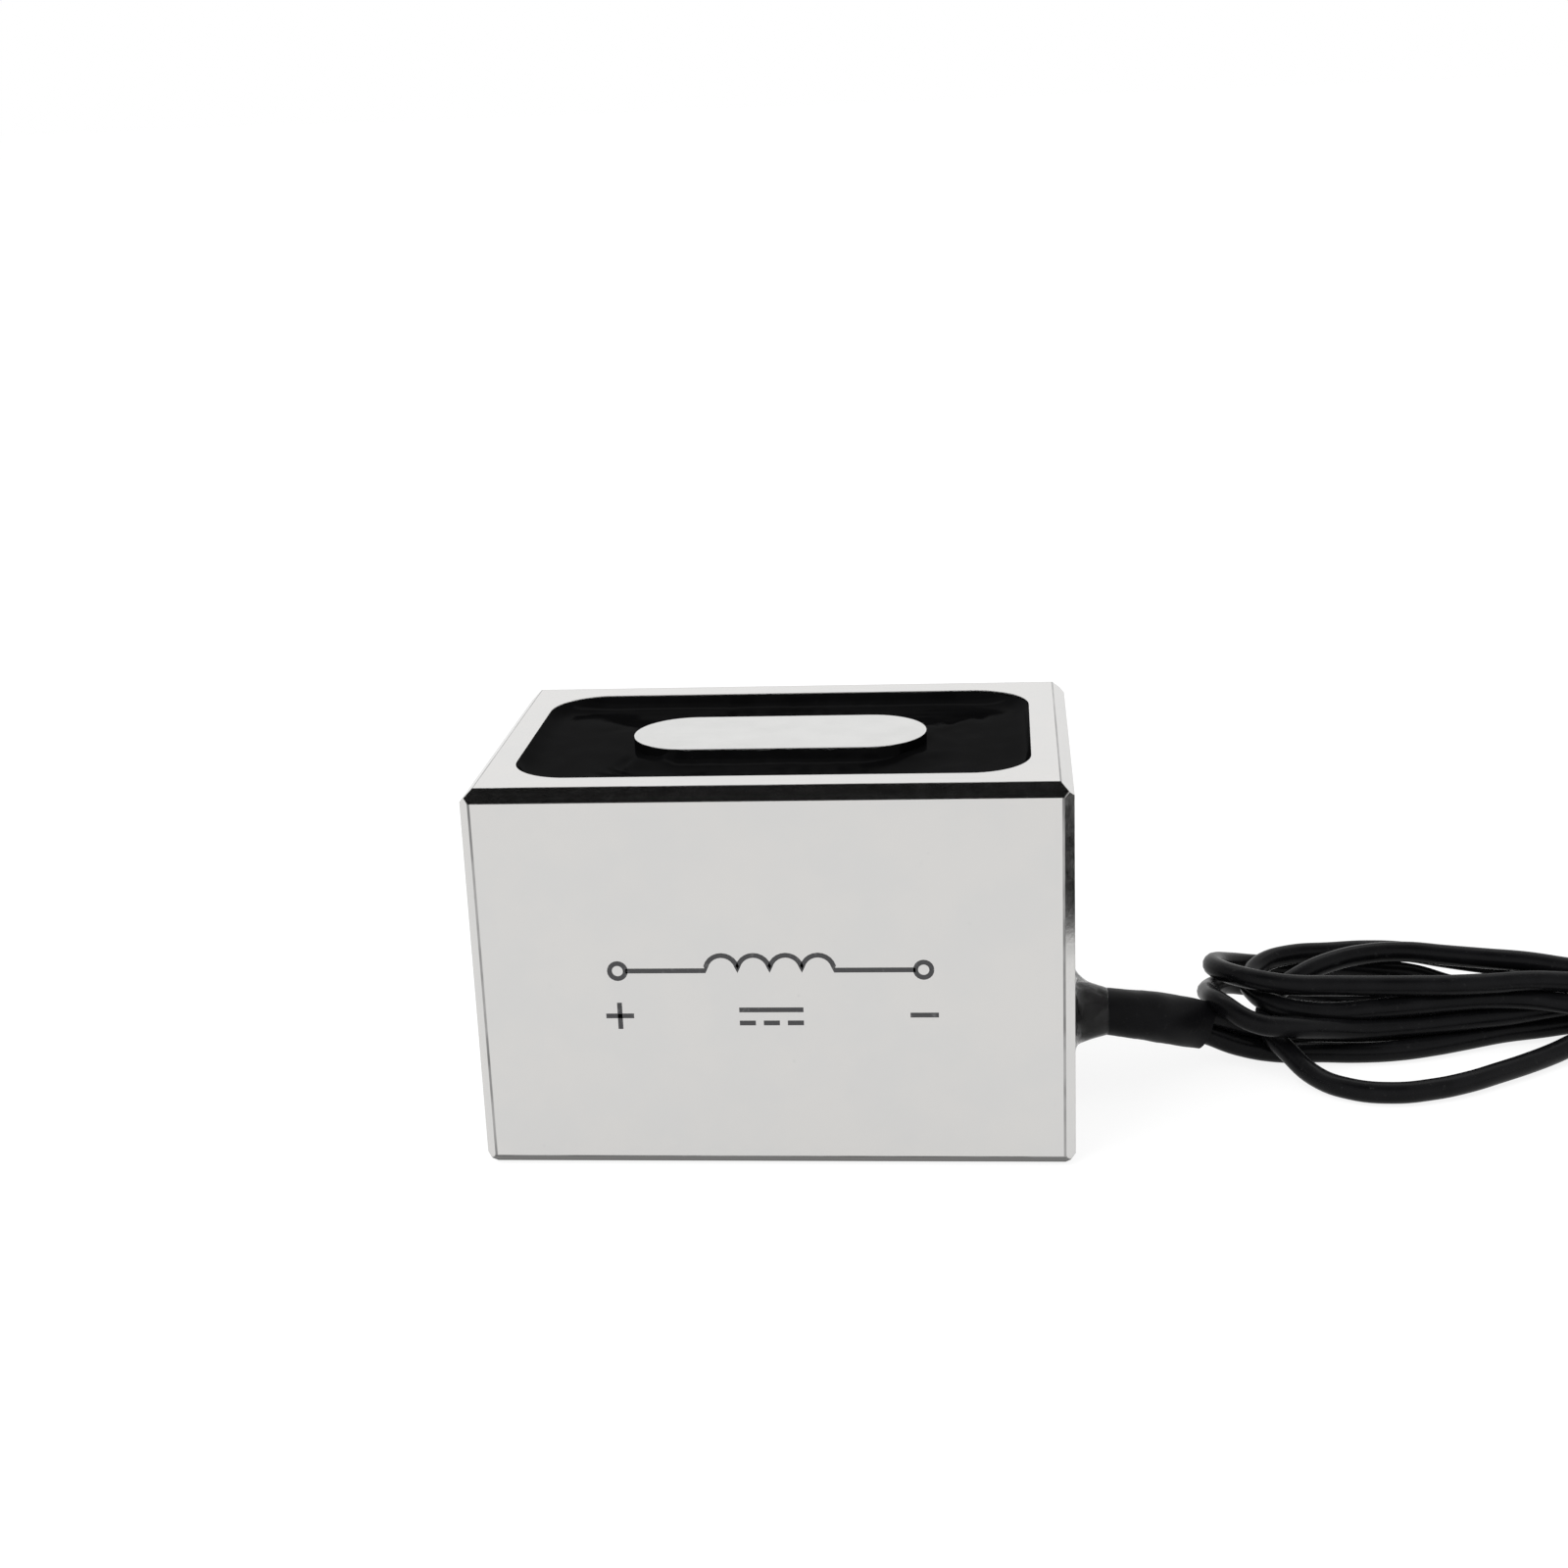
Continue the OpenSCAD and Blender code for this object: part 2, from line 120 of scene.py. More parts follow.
class Value:
    """A number or vector of a material, which Python arithmetic turns into Math nodes."""

    def __init__(self, graph, socket):
        self.graph = graph
        self.socket = socket

    def math(self, operation, *others, clamp=False):
        values = {index + 1: other for index, other in enumerate(others)}
        return self.graph.node("Math", {"operation": operation, "use_clamp": clamp}, {0: self, **values})

    def __add__(self, other):
        return self.math("ADD", other)

    __radd__ = __add__

    def __mul__(self, other):
        return self.math("MULTIPLY", other)

    __rmul__ = __mul__

    def __sub__(self, other):
        return self.math("SUBTRACT", other)

    def __rsub__(self, other):
        return self.graph.node("Math", {"operation": "SUBTRACT"}, {0: other, 1: self})

    def __abs__(self):
        return self.math("ABSOLUTE")

    def sine(self):
        return self.math("SINE")

    def smallest(self, other):
        return self.math("MINIMUM", other)

    def largest(self, other):
        return self.math("MAXIMUM", other)

    def clamped(self):
        return self.math("ADD", 0.0, clamp=True)

    def ramp(self, low, high, to_low=0.0, to_high=1.0):
        """Smooth step from to_low at low to to_high at high."""
        values = {0: self, 1: low, 2: high, 3: to_low, 4: to_high}
        return self.graph.node("MapRange", {"interpolation_type": "SMOOTHSTEP"}, values)


class Graph:
    """The nodes of one material or world."""

    def __init__(self, name, kind="materials"):
        self.owner = getattr(bpy.data, kind).new(name)
        self.owner.use_nodes = True
        self.tree = self.owner.node_tree
        self.tree.nodes.clear()

    def node(self, kind, settings=None, values=None, output=0):
        """One output of a new node. It gets its settings first, then the values and links of its sockets."""
        made = self.tree.nodes.new("ShaderNode" + kind)
        for key, setting in (settings or {}).items():
            setattr(made, key, setting)
        for key, value in (values or {}).items():
            if isinstance(value, Value):
                self.tree.links.new(value.socket, made.inputs[key])
            elif isinstance(value, (tuple, list)) and len(made.inputs[key].default_value) == 4:
                made.inputs[key].default_value = (*value[:3], 1.0)
            else:
                made.inputs[key].default_value = value
        return Value(self, made.outputs[output]) if made.outputs else None

    def place(self):
        """Object coordinates."""
        return self.node("TexCoord", output=3)

    def axes(self, vector=None):
        """The three parts of a vector, or of the place on the object."""
        split = self.node("SeparateXYZ", values={0: vector or self.place()})
        node = split.socket.node
        return [Value(self, node.outputs[index]) for index in range(3)]

    def rays(self):
        """Whether a ray is the camera's, a reflection, or passes through something clear."""
        return [self.node("LightPath", output=index) for index in (0, 3, 6)]

    def noise(self, per_mm, detail=2.0, rough=0.5, stretch=(1.0, 1.0, 1.0)):
        """Noise with per_mm features a millimetre, along stretched axes."""
        scaled = self.node("Mapping", values={0: self.place(), 3: [1000.0 * per_mm * k for k in stretch]})
        values = {"Vector": scaled, "Scale": 1.0, "Detail": detail, "Roughness": rough}
        return self.node("TexNoise", values=values)

    def blend(self, factor, low, high):
        """Colour low where factor is 0 and high where it is 1."""
        return self.node("Mix", {"data_type": "RGBA"}, {0: factor, 6: low, 7: high}, output=2)

    def bump(self, height, distance, strength=1.0, normal=None):
        """Normal of a relief that is distance deep, on top of another normal if there is one."""
        values = {"Height": height, "Distance": distance, "Strength": strength}
        if normal:
            values["Normal"] = normal
        return self.node("Bump", values=values)

    def finish(self, **inputs):
        """Ends the material with a Principled shader. Names of inputs are written with underscores."""
        shader = self.node("BsdfPrincipled", values={key.replace("_", " "): v for key, v in inputs.items()})
        self.node("OutputMaterial", values={"Surface": shader})
        return self.owner


def grey(level):
    return (level, level, level)


def plated_steel(settings):
    """Bright plating with soft blotches, chamfers painted paler as an edge highlight, and thin dark lines of
    painted shade where flats meet chamfers.
    """
    graph = Graph("plated_steel")
    x, y, z = graph.axes()
    blotch = graph.noise(0.28, detail=3.0, rough=0.6).ramp(0.35, 0.65)
    fine = graph.noise(1.6, detail=3.0, rough=0.65)
    grain = graph.noise(9.0, detail=2.0)
    lines = graph.noise(5.0, detail=2.0, stretch=(0.05, 1.0, 1.0))
    steel = settings.steel
    cool = tuple(steel[k] * factor for k, factor in enumerate((0.965, 0.975, 0.985)))
    base = graph.blend(blotch, cool, tuple(steel))
    specks = graph.noise(3.2, detail=1.0).ramp(0.70, 0.78)
    base = graph.blend(specks * 0.18, base, grey(0.40))

    # How far a place lies past the flats, along each axis.
    past_x, past_y = abs(x) - (HALF_X - CHAMFER) * MM, abs(y) - (HALF_Y - CHAMFER) * MM
    past_z = z - (TOP - CHAMFER) * MM
    # Painted edge highlight: the chamfers, and a thin band just before them, are painted paler.
    chamfer_highlight = past_x.largest(past_y).largest(past_z).ramp(-0.10 * MM, 0.0)
    base = graph.blend(chamfer_highlight * 0.35, base, grey(0.80))

    # Painted shade: thin dark lines on the flats, at and just inside the edges where they meet the chamfers.
    def thin_line(distance, half_width=0.02):
        return 1 - abs(distance).ramp(half_width * MM, (half_width + 0.05) * MM)

    on_top = z.ramp((TOP - 0.12) * MM, (TOP - 0.05) * MM)
    on_sides = abs(y).ramp((HALF_Y - 0.08) * MM, (HALF_Y - 0.03) * MM)
    top_edge_shade = thin_line(past_x.largest(past_y) + 0.15 * MM) * on_top
    side_edge_shade = thin_line(past_x + 0.04 * MM, 0.04) * on_sides
    foot_edge_shade = thin_line(z - CHAMFER * MM) * on_sides
    line = top_edge_shade.largest(side_edge_shade).largest(foot_edge_shade)
    base = graph.blend(line * (0.5 + blotch * 0.35), base, grey(0.13))
    rough = (fine * 0.10 + settings.steel_roughness - 0.05) + lines * 0.04 - chamfer_highlight * 0.05
    soft = graph.node("Bevel", {"samples": 4}, {"Radius": 0.07 * MM})
    height = grain * 0.35 + fine * 0.45 + lines * 0.2
    normal = graph.bump(height, 0.012 * MM, 0.35, soft)
    return graph.finish(Base_Color=base, Metallic=1.0, Roughness=rough, Normal=normal)


def pole_steel(settings):
    """Steel ground along x, with faint clouds and pits."""
    graph = Graph("pole_steel")
    grind = graph.noise(9.0, detail=3.0, stretch=(0.03, 1.0, 0.4))
    cloud = graph.noise(0.35, detail=3.0).ramp(0.3, 0.7)
    pits = graph.noise(4.0, detail=1.0).ramp(0.72, 0.80)
    base = graph.blend(cloud, tuple(settings.pole), tuple(k * 0.95 for k in settings.pole))
    base = graph.blend(pits * 0.25, base, grey(0.42))
    rough = grind * 0.12 + 0.15 + cloud * 0.04
    soft = graph.node("Bevel", {"samples": 4}, {"Radius": 0.06 * MM})
    normal = graph.bump(grind, 0.006 * MM, 0.3, soft)
    return graph.finish(Base_Color=base, Metallic=1.0, Roughness=rough, Normal=normal)


def resin(settings):
    """Black casting resin under a thin gloss, with a little dust."""
    graph = Graph("potting_resin")
    cloud = graph.noise(0.6, detail=3.0).ramp(0.3, 0.7)
    fine = graph.noise(6.0, detail=2.0)
    dust = graph.noise(11.0, detail=1.0).ramp(0.74, 0.80)
    base = graph.blend(cloud, tuple(settings.resin), tuple(k * 1.5 for k in settings.resin))
    base = graph.blend(dust * 0.2, base, grey(0.03))
    rough = cloud * 0.08 + 0.42 + dust * 0.2
    normal = graph.bump(fine * 0.4 + cloud, 0.01 * MM, 0.25)
    return graph.finish(
        Base_Color=base, Roughness=rough, Normal=normal,
        Specular_IOR_Level=0.0, Coat_Weight=0.034, Coat_Roughness=0.12,
    )


def insulation(name, shade, rough_at, per_mm, level):
    """Dark plastic or rubber with scuffs, at a roughness, a grain and a specular level."""
    graph = Graph(name)
    cloud = graph.noise(0.7, detail=3.0).ramp(0.3, 0.7)
    fine = graph.noise(per_mm, detail=2.0)
    scuff = graph.noise(2.4, detail=4.0, rough=0.7).ramp(0.60, 0.74)
    base = graph.blend(cloud, tuple(shade), tuple(k * 1.5 for k in shade))
    base = graph.blend(scuff * 0.5, base, grey(0.022))
    rough = cloud * 0.08 + rough_at + scuff * 0.12
    normal = graph.bump(fine * 0.5 + cloud * 0.5, 0.02 * MM, 0.35)
    return graph.finish(Base_Color=base, Roughness=rough, Normal=normal, Specular_IOR_Level=level)


def clear_glue():
    """Cloudy clear glue with bubbles, whose pale spots are painted glints."""
    graph = Graph("seal_glue")
    cloud = graph.noise(1.1, detail=3.0).ramp(0.3, 0.75)
    bubbles_and_glints = graph.noise(4.5, detail=1.0).ramp(0.66, 0.74)
    base = graph.blend(cloud, (0.22, 0.22, 0.22), (0.72, 0.72, 0.71))
    # Painted glints: the bubbles are painted pale; they are also a relief in the bump below.
    base = graph.blend(bubbles_and_glints * 0.4, base, grey(1.0))
    rough = cloud * 0.12 + 0.06
    normal = graph.bump(cloud * 0.6 + bubbles_and_glints * 0.4, 0.08 * MM, 0.6)
    return graph.finish(Base_Color=base, Roughness=rough, Normal=normal, Transmission_Weight=0.98, IOR=1.26)


def nylon():
    graph = Graph("bobbin_nylon")
    cloud = graph.noise(0.5, detail=2.0).ramp(0.3, 0.7)
    fine = graph.noise(7.0, detail=2.0)
    base = graph.blend(cloud, (0.80, 0.77, 0.68), (0.86, 0.84, 0.77))
    return graph.finish(
        Base_Color=base, Roughness=fine * 0.1 + 0.4, Normal=graph.bump(fine, 0.01 * MM, 0.3),
        Subsurface_Weight=0.1, Subsurface_Scale=0.001,
    )


def wound_wire(name, shade, pitch):
    """Enamelled wire: the turns of a winding show as ridges up its height, a pitch apart in metres, with
    painted shade in the grooves between them.
    """
    graph = Graph(name)
    z = graph.axes()[2]
    turns = (z * (2 * math.pi / pitch)).sine() * 0.5 + 0.5
    cloud = graph.noise(0.8, detail=2.0).ramp(0.3, 0.7)
    # Painted shade: the colour darkens into the grooves between the turns and is lightest on their crests.
    base = graph.blend(turns * 0.6 + cloud * 0.3, tuple(k * 0.55 for k in shade), shade)
    return graph.finish(
        Base_Color=base, Metallic=0.9, Roughness=cloud * 0.1 + 0.25,
        Normal=graph.bump(turns, pitch * 0.4, 0.8), Coat_Weight=0.5,
    )


def plain_metal(name, shade, rough_at, per_mm):
    graph = Graph(name)
    cloud = graph.noise(per_mm * 0.3, detail=2.0).ramp(0.3, 0.7)
    fine = graph.noise(per_mm, detail=2.0)
    base = graph.blend(cloud, shade, tuple(k * 0.85 for k in shade))
    normal = graph.bump(fine, 0.02 * MM, 0.4)
    return graph.finish(Base_Color=base, Metallic=1.0, Roughness=cloud * 0.12 + rough_at, Normal=normal)


def tape_film():
    """Amber tape, whose laps show as a darker edge every few millimetres up the coil."""
    graph = Graph("coil_tape")
    lap = 5 * MM
    z = graph.axes()[2]
    edge = (z * (2 * math.pi / lap)).sine().ramp(0.9, 1.0)
    cloud = graph.noise(0.6, detail=2.0).ramp(0.3, 0.7)
    base = graph.blend(cloud, (0.72, 0.48, 0.06), (0.80, 0.58, 0.10))
    base = graph.blend(edge * 0.4, base, (0.45, 0.28, 0.03))
    normal = graph.bump(edge, 0.03 * MM, 0.5)
    return graph.finish(Base_Color=base, Roughness=cloud * 0.1 + 0.25, Normal=normal)


def soft_tube():
    graph = Graph("joint_sleeving")
    cloud = graph.noise(1.4, detail=2.0).ramp(0.3, 0.7)
    weave = graph.noise(9.0, detail=2.0)
    base = graph.blend(cloud, (0.80, 0.78, 0.70), (0.88, 0.87, 0.82))
    normal = graph.bump(weave, 0.02 * MM, 0.4)
    return graph.finish(Base_Color=base, Roughness=cloud * 0.1 + 0.45, Normal=normal)


def ink(settings):
    graph = Graph("print_ink")
    worn = graph.noise(3.0, detail=3.0).ramp(0.55, 0.75)
    fine = graph.noise(12.0, detail=2.0)
    base = graph.blend(worn * 0.4, tuple(settings.print_ink), grey(0.16))
    normal = graph.bump(fine, 0.004 * MM, 0.3)
    return graph.finish(Base_Color=base, Roughness=fine * 0.1 + 0.5, Normal=normal)


# ---------------------------------------------------------------- modelling helpers


def deselect():
    if bpy.context.object and bpy.context.object.mode != "OBJECT":
        bpy.ops.object.mode_set(mode="OBJECT")
    bpy.ops.object.select_all(action="DESELECT")


def seated(piece, name, material, slot, *replaced):
    """Names a finished piece, gives it its finish and seats it on the one body."""
    piece.name = name
    piece.data.name = name
    piece.data.materials.clear()
    piece.data.materials.append(material)
    if replaced:
        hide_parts(*replaced)
    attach(piece, "root")
    return piece


def loft(loops, joined=False, angle=40.0):
    """Shell through loops of points in metres: a circle is drawn onto the first, then extruded onto the rest.

    The first and last loops are filled, or bridged to each other when they are joined.
    """
    deselect()
    bpy.ops.mesh.primitive_circle_add(vertices=len(loops[0]), radius=1.0, fill_type="NOTHING")
    piece = bpy.context.object
    bpy.ops.object.mode_set(mode="EDIT")
    mesh = bmesh.from_edit_mesh(piece.data)
    for layer in ("turn", "rank"):
        mesh.verts.layers.int.new(layer)
    turn = mesh.verts.layers.int["turn"]
    mesh.verts.ensure_lookup_table()
    for index, vertex in enumerate(mesh.verts):
        vertex[turn] = index
        vertex.co = loops[0][index]
    for step, loop in enumerate(loops[1:], 1):
        bpy.ops.mesh.extrude_region_move()
        mesh = bmesh.from_edit_mesh(piece.data)
        turn = mesh.verts.layers.int["turn"]
        rank = mesh.verts.layers.int["rank"]
        for vertex in mesh.verts:
            if vertex.select:
                vertex.co = loop[vertex[turn]]
                vertex[rank] = step
    last = len(loops) - 1
    if joined:
        pick_loops(piece, (0, last))
        bpy.ops.mesh.bridge_edge_loops()
    else:
        for step in (0, last):
            pick_loops(piece, (step,))
            bpy.ops.mesh.edge_face_add()
    bpy.ops.mesh.select_all(action="SELECT")
    bpy.ops.mesh.normals_make_consistent(inside=False)
    bpy.ops.object.mode_set(mode="OBJECT")
    bpy.ops.object.shade_smooth_by_angle(angle=math.radians(angle))
    for layer in ("turn", "rank"):
        piece.data.attributes.remove(piece.data.attributes[layer])
    return piece


def pick_loops(piece, steps):
    """Selects the edges of the loops that were extruded at these steps."""
    bpy.ops.mesh.select_all(action="DESELECT")
    bpy.ops.mesh.select_mode(type="EDGE")
    mesh = bmesh.from_edit_mesh(piece.data)
    rank = mesh.verts.layers.int["rank"]
    for edge in mesh.edges:
        a, b = edge.verts
        edge.select_set(a[rank] == b[rank] and a[rank] in steps)
    bmesh.update_edit_mesh(piece.data)


def joined_pieces(pieces):
    """Joins pieces into the first of them."""
    deselect()
    for piece in pieces:
        piece.select_set(True)
    bpy.context.view_layer.objects.active = pieces[0]
    bpy.ops.object.join()
    return pieces[0]


def millimetres(x, y, z):
    return Vector((x, y, z)) * MM


def smooth_route(points, steps):
    """Catmull-Rom curve through points, with steps between two of them."""
    line = [Vector(p) for p in points]
    line = [2 * line[0] - line[1], *line, 2 * line[-1] - line[-2]]
    out = []
    for a, b, c, d in zip(line, line[1:], line[2:], line[3:]):
        for k in range(steps):
            t = k / steps
            bend, twist = 2 * a - 5 * b + 4 * c - d, 3 * b - a - 3 * c + d
            out.append(0.5 * (2 * b + (c - a) * t + bend * t**2 + twist * t**3))
    out.append(line[-2])
    return out


def directions(route):
    """Direction of a route at each of its points."""
    last = len(route) - 1
    return [(route[min(k + 1, last)] - route[max(k - 1, 0)]).normalized() for k in range(last + 1)]


def circle(count):
    """Angles of evenly spaced points round a circle."""
    return [2 * math.pi * k / count for k in range(count)]


def step_up(value, low, high):
    """Smooth step from 0 at low to 1 at high."""
    t = min(max((value - low) / (high - low), 0.0), 1.0)
    return t * t * (3 - 2 * t)


def hump(value, centre, width):
    """Smooth hump, 1 high, about a centre."""
    return math.exp(-(((value - centre) / width) ** 2))


# ---------------------------------------------------------------- leads


# Each point is (distance from the end wall, y, z) in millimetres.
LEAD_A = [
    (-2.5, -0.58, 4.2), (-0.31, -0.58, 4.2), (1.86, -0.56, 4.17), (3.77, 0.14, 3.38), (5.49, 1.28, 2.65),
    (7.22, 2.39, 1.92), (9.21, 2.62, 1.06), (11.34, 2.73, 0.61), (13.52, 2.78, 0.59), (15.69, 2.73, 0.58),
    (17.83, 2.99, 0.58), (19.89, 3.65, 0.58), (21.89, 4.49, 0.59), (23.92, 5.27, 0.65),
    (26.03, 5.75, 0.72), (28.2, 5.97, 0.94), (30.38, 5.96, 1.12), (32.5, 5.52, 0.99), (34.3, 4.31, 0.72),
    (36.35, 3.73, 0.62), (38.15, 4.84, 0.69), (38.7, 6.92, 0.71), (37.96, 8.94, 0.7),
    (36.12, 10.01, 0.73), (34.06, 9.42, 0.87), (32.19, 8.33, 1.06), (30.02, 8.27, 1.08),
    (27.84, 8.43, 0.88), (25.67, 8.66, 0.71), (23.5, 8.94, 0.62), (21.34, 9.26, 0.58), (19.17, 9.57, 0.6),
    (17, 9.81, 0.66), (14.82, 9.9, 0.83), (12.7, 9.7, 1.35), (10.6, 9.1, 1.9), (8.9, 8, 2.5),
    (7.9, 6.1, 2.95), (7.75, 4, 3.5), (8.25, 1.95, 3.78), (9.85, 0.74, 3.20), (11.92, 1.02, 2.80),
    (13.84, 1.97, 2.30), (15.76, 2.89, 1.84), (17.84, 3.5, 1.72), (19.95, 4.01, 1.71),
    (22.05, 4.56, 1.73), (24.14, 5.13, 1.74), (26.26, 5.58, 1.92), (28.41, 5.87, 2.14),
    (30.58, 5.9, 2.45), (32.62, 5.27, 2.85), (34.38, 3.99, 3.02), (36.46, 3.58, 3.12),
    (38.15, 4.88, 3.15), (38.64, 6.98, 3.16), (37.85, 8.98, 3.16), (35.98, 10.01, 3.17),
    (33.9, 9.48, 3.22), (32.07, 8.29, 3.37), (29.93, 7.94, 3.47), (27.75, 8.1, 3.36), (25.57, 8.27, 3.32),
    (23.41, 8.48, 3.48), (21.29, 8.89, 3.66), (19.18, 9.4, 3.85), (17.02, 9.34, 3.98),
    (14.86, 9.15, 3.95), (12.71, 8.92, 3.9), (11.1, 8.1, 3.75), (10.2, 6.5, 3.5), (10.2, 4.7, 3.4),
    (11.2, 3.2, 3.22), (12.9, 3, 2.9), (14.5, 3.22, 2.74), (16.6, 3.55, 2.78), (18.73, 3.82, 2.88),
    (20.84, 4.32, 2.89), (22.97, 4.72, 2.88), (25.12, 4.83, 2.8), (27.29, 4.69, 2.59), (29.47, 4.74, 2.4),
    (31.65, 4.6, 2.25), (33.55, 3.62, 1.89), (35.4, 2.7, 1.14), (37.48, 2.48, 0.64), (39.66, 2.29, 0.58),
    (41.84, 2.06, 0.57), (44, 1.7, 0.57),
]
LEAD_B = [
    (-2.5, 0.58, 4.2), (-0.31, 0.58, 4.2), (1.88, 0.6, 4.2), (3.96, 1.27, 4.04), (5.97, 1.97, 3.54),
    (7.94, 2.62, 2.81), (9.78, 3.29, 1.85), (11.72, 3.81, 1.04), (13.83, 4.03, 0.61), (16, 4.05, 0.58),
    (18.15, 4.34, 0.58), (20.21, 5.03, 0.66), (22.19, 5.9, 0.61), (24.26, 6.55, 0.67),
    (26.39, 6.99, 0.79), (28.57, 7.15, 1.01), (30.72, 7.06, 1.43), (32.66, 6.25, 1.9), (34.21, 4.7, 1.93),
    (36.08, 3.64, 1.94), (37.99, 4.5, 1.93), (38.7, 6.54, 1.94), (38.13, 8.61, 1.96), (36.4, 9.87, 1.98),
    (34.28, 9.56, 2.05), (32.4, 8.44, 2.17), (30.27, 8.04, 2.24), (28.09, 8.18, 2.06),
    (25.91, 8.23, 1.84), (23.74, 8.26, 1.85), (21.62, 8.22, 2.27), (19.58, 8.6, 2.78), (17.5, 9.26, 2.83),
    (15.38, 9.69, 2.87), (13.23, 9.98, 2.82), (11.07, 9.88, 2.92), (9.25, 8.86, 3.47), (8.22, 7.08, 4.15),
    (8.43, 4.98, 4.54), (9.99, 3.52, 4.59), (12.11, 3.27, 4.34), (14.26, 3.58, 4.17), (16.42, 3.77, 4.07),
    (18.6, 3.84, 4.04), (20.76, 3.96, 4.01), (22.91, 4.3, 3.97), (25.04, 4.7, 3.95), (27.19, 5.05, 3.74),
    (29.36, 5.28, 3.57), (31.51, 4.89, 3.62), (33.46, 3.97, 3.98), (35.55, 3.46, 4.27),
    (37.54, 4.26, 4.34), (38.59, 6.14, 4.31), (38.4, 8.3, 4.31), (37, 9.91, 4.35), (34.91, 9.78, 4.35),
    (33.44, 8.19, 4.1), (31.72, 6.96, 3.65), (29.59, 6.48, 3.68), (27.42, 6.48, 4), (25.26, 6.64, 4.3),
    (23.11, 6.94, 4.39), (21, 7.45, 4.4), (18.9, 7.97, 4.41), (16.74, 7.78, 4.37), (14.71, 7.03, 4.21),
    (12.86, 5.98, 3.8), (11.25, 4.8, 3), (10.75, 2.85, 2.1), (11.77, 1.09, 1.29), (12.99, -0.59, 0.66),
    (14.61, -2.02, 0.58), (16.72, -2.51, 0.58), (18.84, -2.06, 0.58), (20.8, -1.16, 0.58),
    (22.62, 0.03, 0.58), (24.4, 1.27, 0.58), (26.14, 2.59, 0.62), (27.94, 3.82, 0.87),
    (29.95, 4.64, 1.11), (32.09, 4.45, 1.06), (33.61, 2.96, 0.68), (35.34, 1.66, 0.58),
    (37.46, 1.11, 0.57), (39.65, 1.01, 0.57), (41.84, 0.87, 0.57), (44, 0.5, 0.57),
]
TIN_LENGTH, TIN_RADIUS = 4.0 * MM, 0.29 * MM


def in_row_frame(point):
    """A point of a route, from millimetres past the end wall to the row frame."""
    return millimetres(END_WALL_X + point[0], point[1], point[2])


def lay_lead(name, points, diameter):
    """Round lead through points of a route."""
    curve = bpy.data.curves.new(name, "CURVE")
    curve.dimensions = "3D"
    curve.bevel_depth = diameter / 2
    curve.bevel_resolution = 5
    curve.resolution_u = 6
    curve.use_fill_caps = True
    spline = curve.splines.new("BEZIER")
    spline.bezier_points.add(len(points) - 1)
    for knot, point in zip(spline.bezier_points, points):
        knot.co = in_row_frame(point)
        knot.handle_left_type = knot.handle_right_type = "AUTO"
    piece = bpy.data.objects.new(name, curve)
    bpy.context.scene.collection.objects.link(piece)
    return piece


def tin_end(name, points, finish):
    """Twists and tins the bare end of a lead, past the last of its points. Six strands show in the tin."""
    last, before = in_row_frame(points[-1]), in_row_frame(points[-2])
    ahead = (last - before).normalized()
    side = ahead.cross(Vector((0, 0, 1))).normalized()
    up = side.cross(ahead)
    steps = 32
    loops = []
    for step in range(steps + 1):
        t = step / steps
        radius = TIN_RADIUS * (1 - 0.08 * t) * (1.0 if t < 0.97 else 0.72)
        ring = []
        for angle in circle(42):
            lobe = 0.95 + 0.09 * abs(math.cos(3 * (angle - 5.0 * t)))
            out = (side * math.cos(angle) + up * math.sin(angle)) * radius * lobe
            ring.append(last + ahead * (TIN_LENGTH * t - 0.02 * MM) + out)
        loops.append(ring)
    return seated(loft(loops), name, finish, "tinned_copper", name.replace("tinned", "end"))


class EM_OT_leads(bpy.types.Operator):
    """Lays both leads out of the housing, folds their spare length into the hank and tins their ends"""

    bl_idname = "electromagnet.leads"
    bl_label = "Leads"

    def execute(self, context):
        settings = context.scene.em_leads
        finish = insulation("lead_insulation", settings.insulation, 0.24, 5.0, 0.09)
        tin = plain_metal("tinned_copper", (0.72, 0.72, 0.73), 0.22, 8.0)
        for letter, points, solids in (
            ("a", LEAD_A, ("lead_a", "lead_a_tail", "lead_hank")), ("b", LEAD_B, ("lead_b", "lead_b_tail")),
        ):
            name = f"lead_{letter}_cord"
            laid = lay_lead(name, points, settings.diameter)
            lead = seated(laid, name, finish, "lead_insulation", *solids)
            end = tin_end(f"lead_{letter}_tinned", points, tin)
            in_row_frame(points[0])
        return {"FINISHED"}


# ---------------------------------------------------------------- stage

# The camera in millimetres and radians, with its focal length in pixels of the photo.
CAMERA_PLACE = (11.6801, -117.5967, 53.4071)
CAMERA_YAW = -0.0981
CAMERA_PITCH = 0.2978
CAMERA_ROLL = -0.0408
CAMERA_FOCAL = 2398.0155
PHOTO_SIZE = 1600
SENSOR = 36.0
FLOOR_DROP = 0.05 * MM
LAMP_PLACE, LAMP_TARGET = Vector((-0.35, -0.25, 0.55)), Vector((0, 0, 0.01))
LAMP_SIZE, LAMP_POWER = 0.5, 4.0


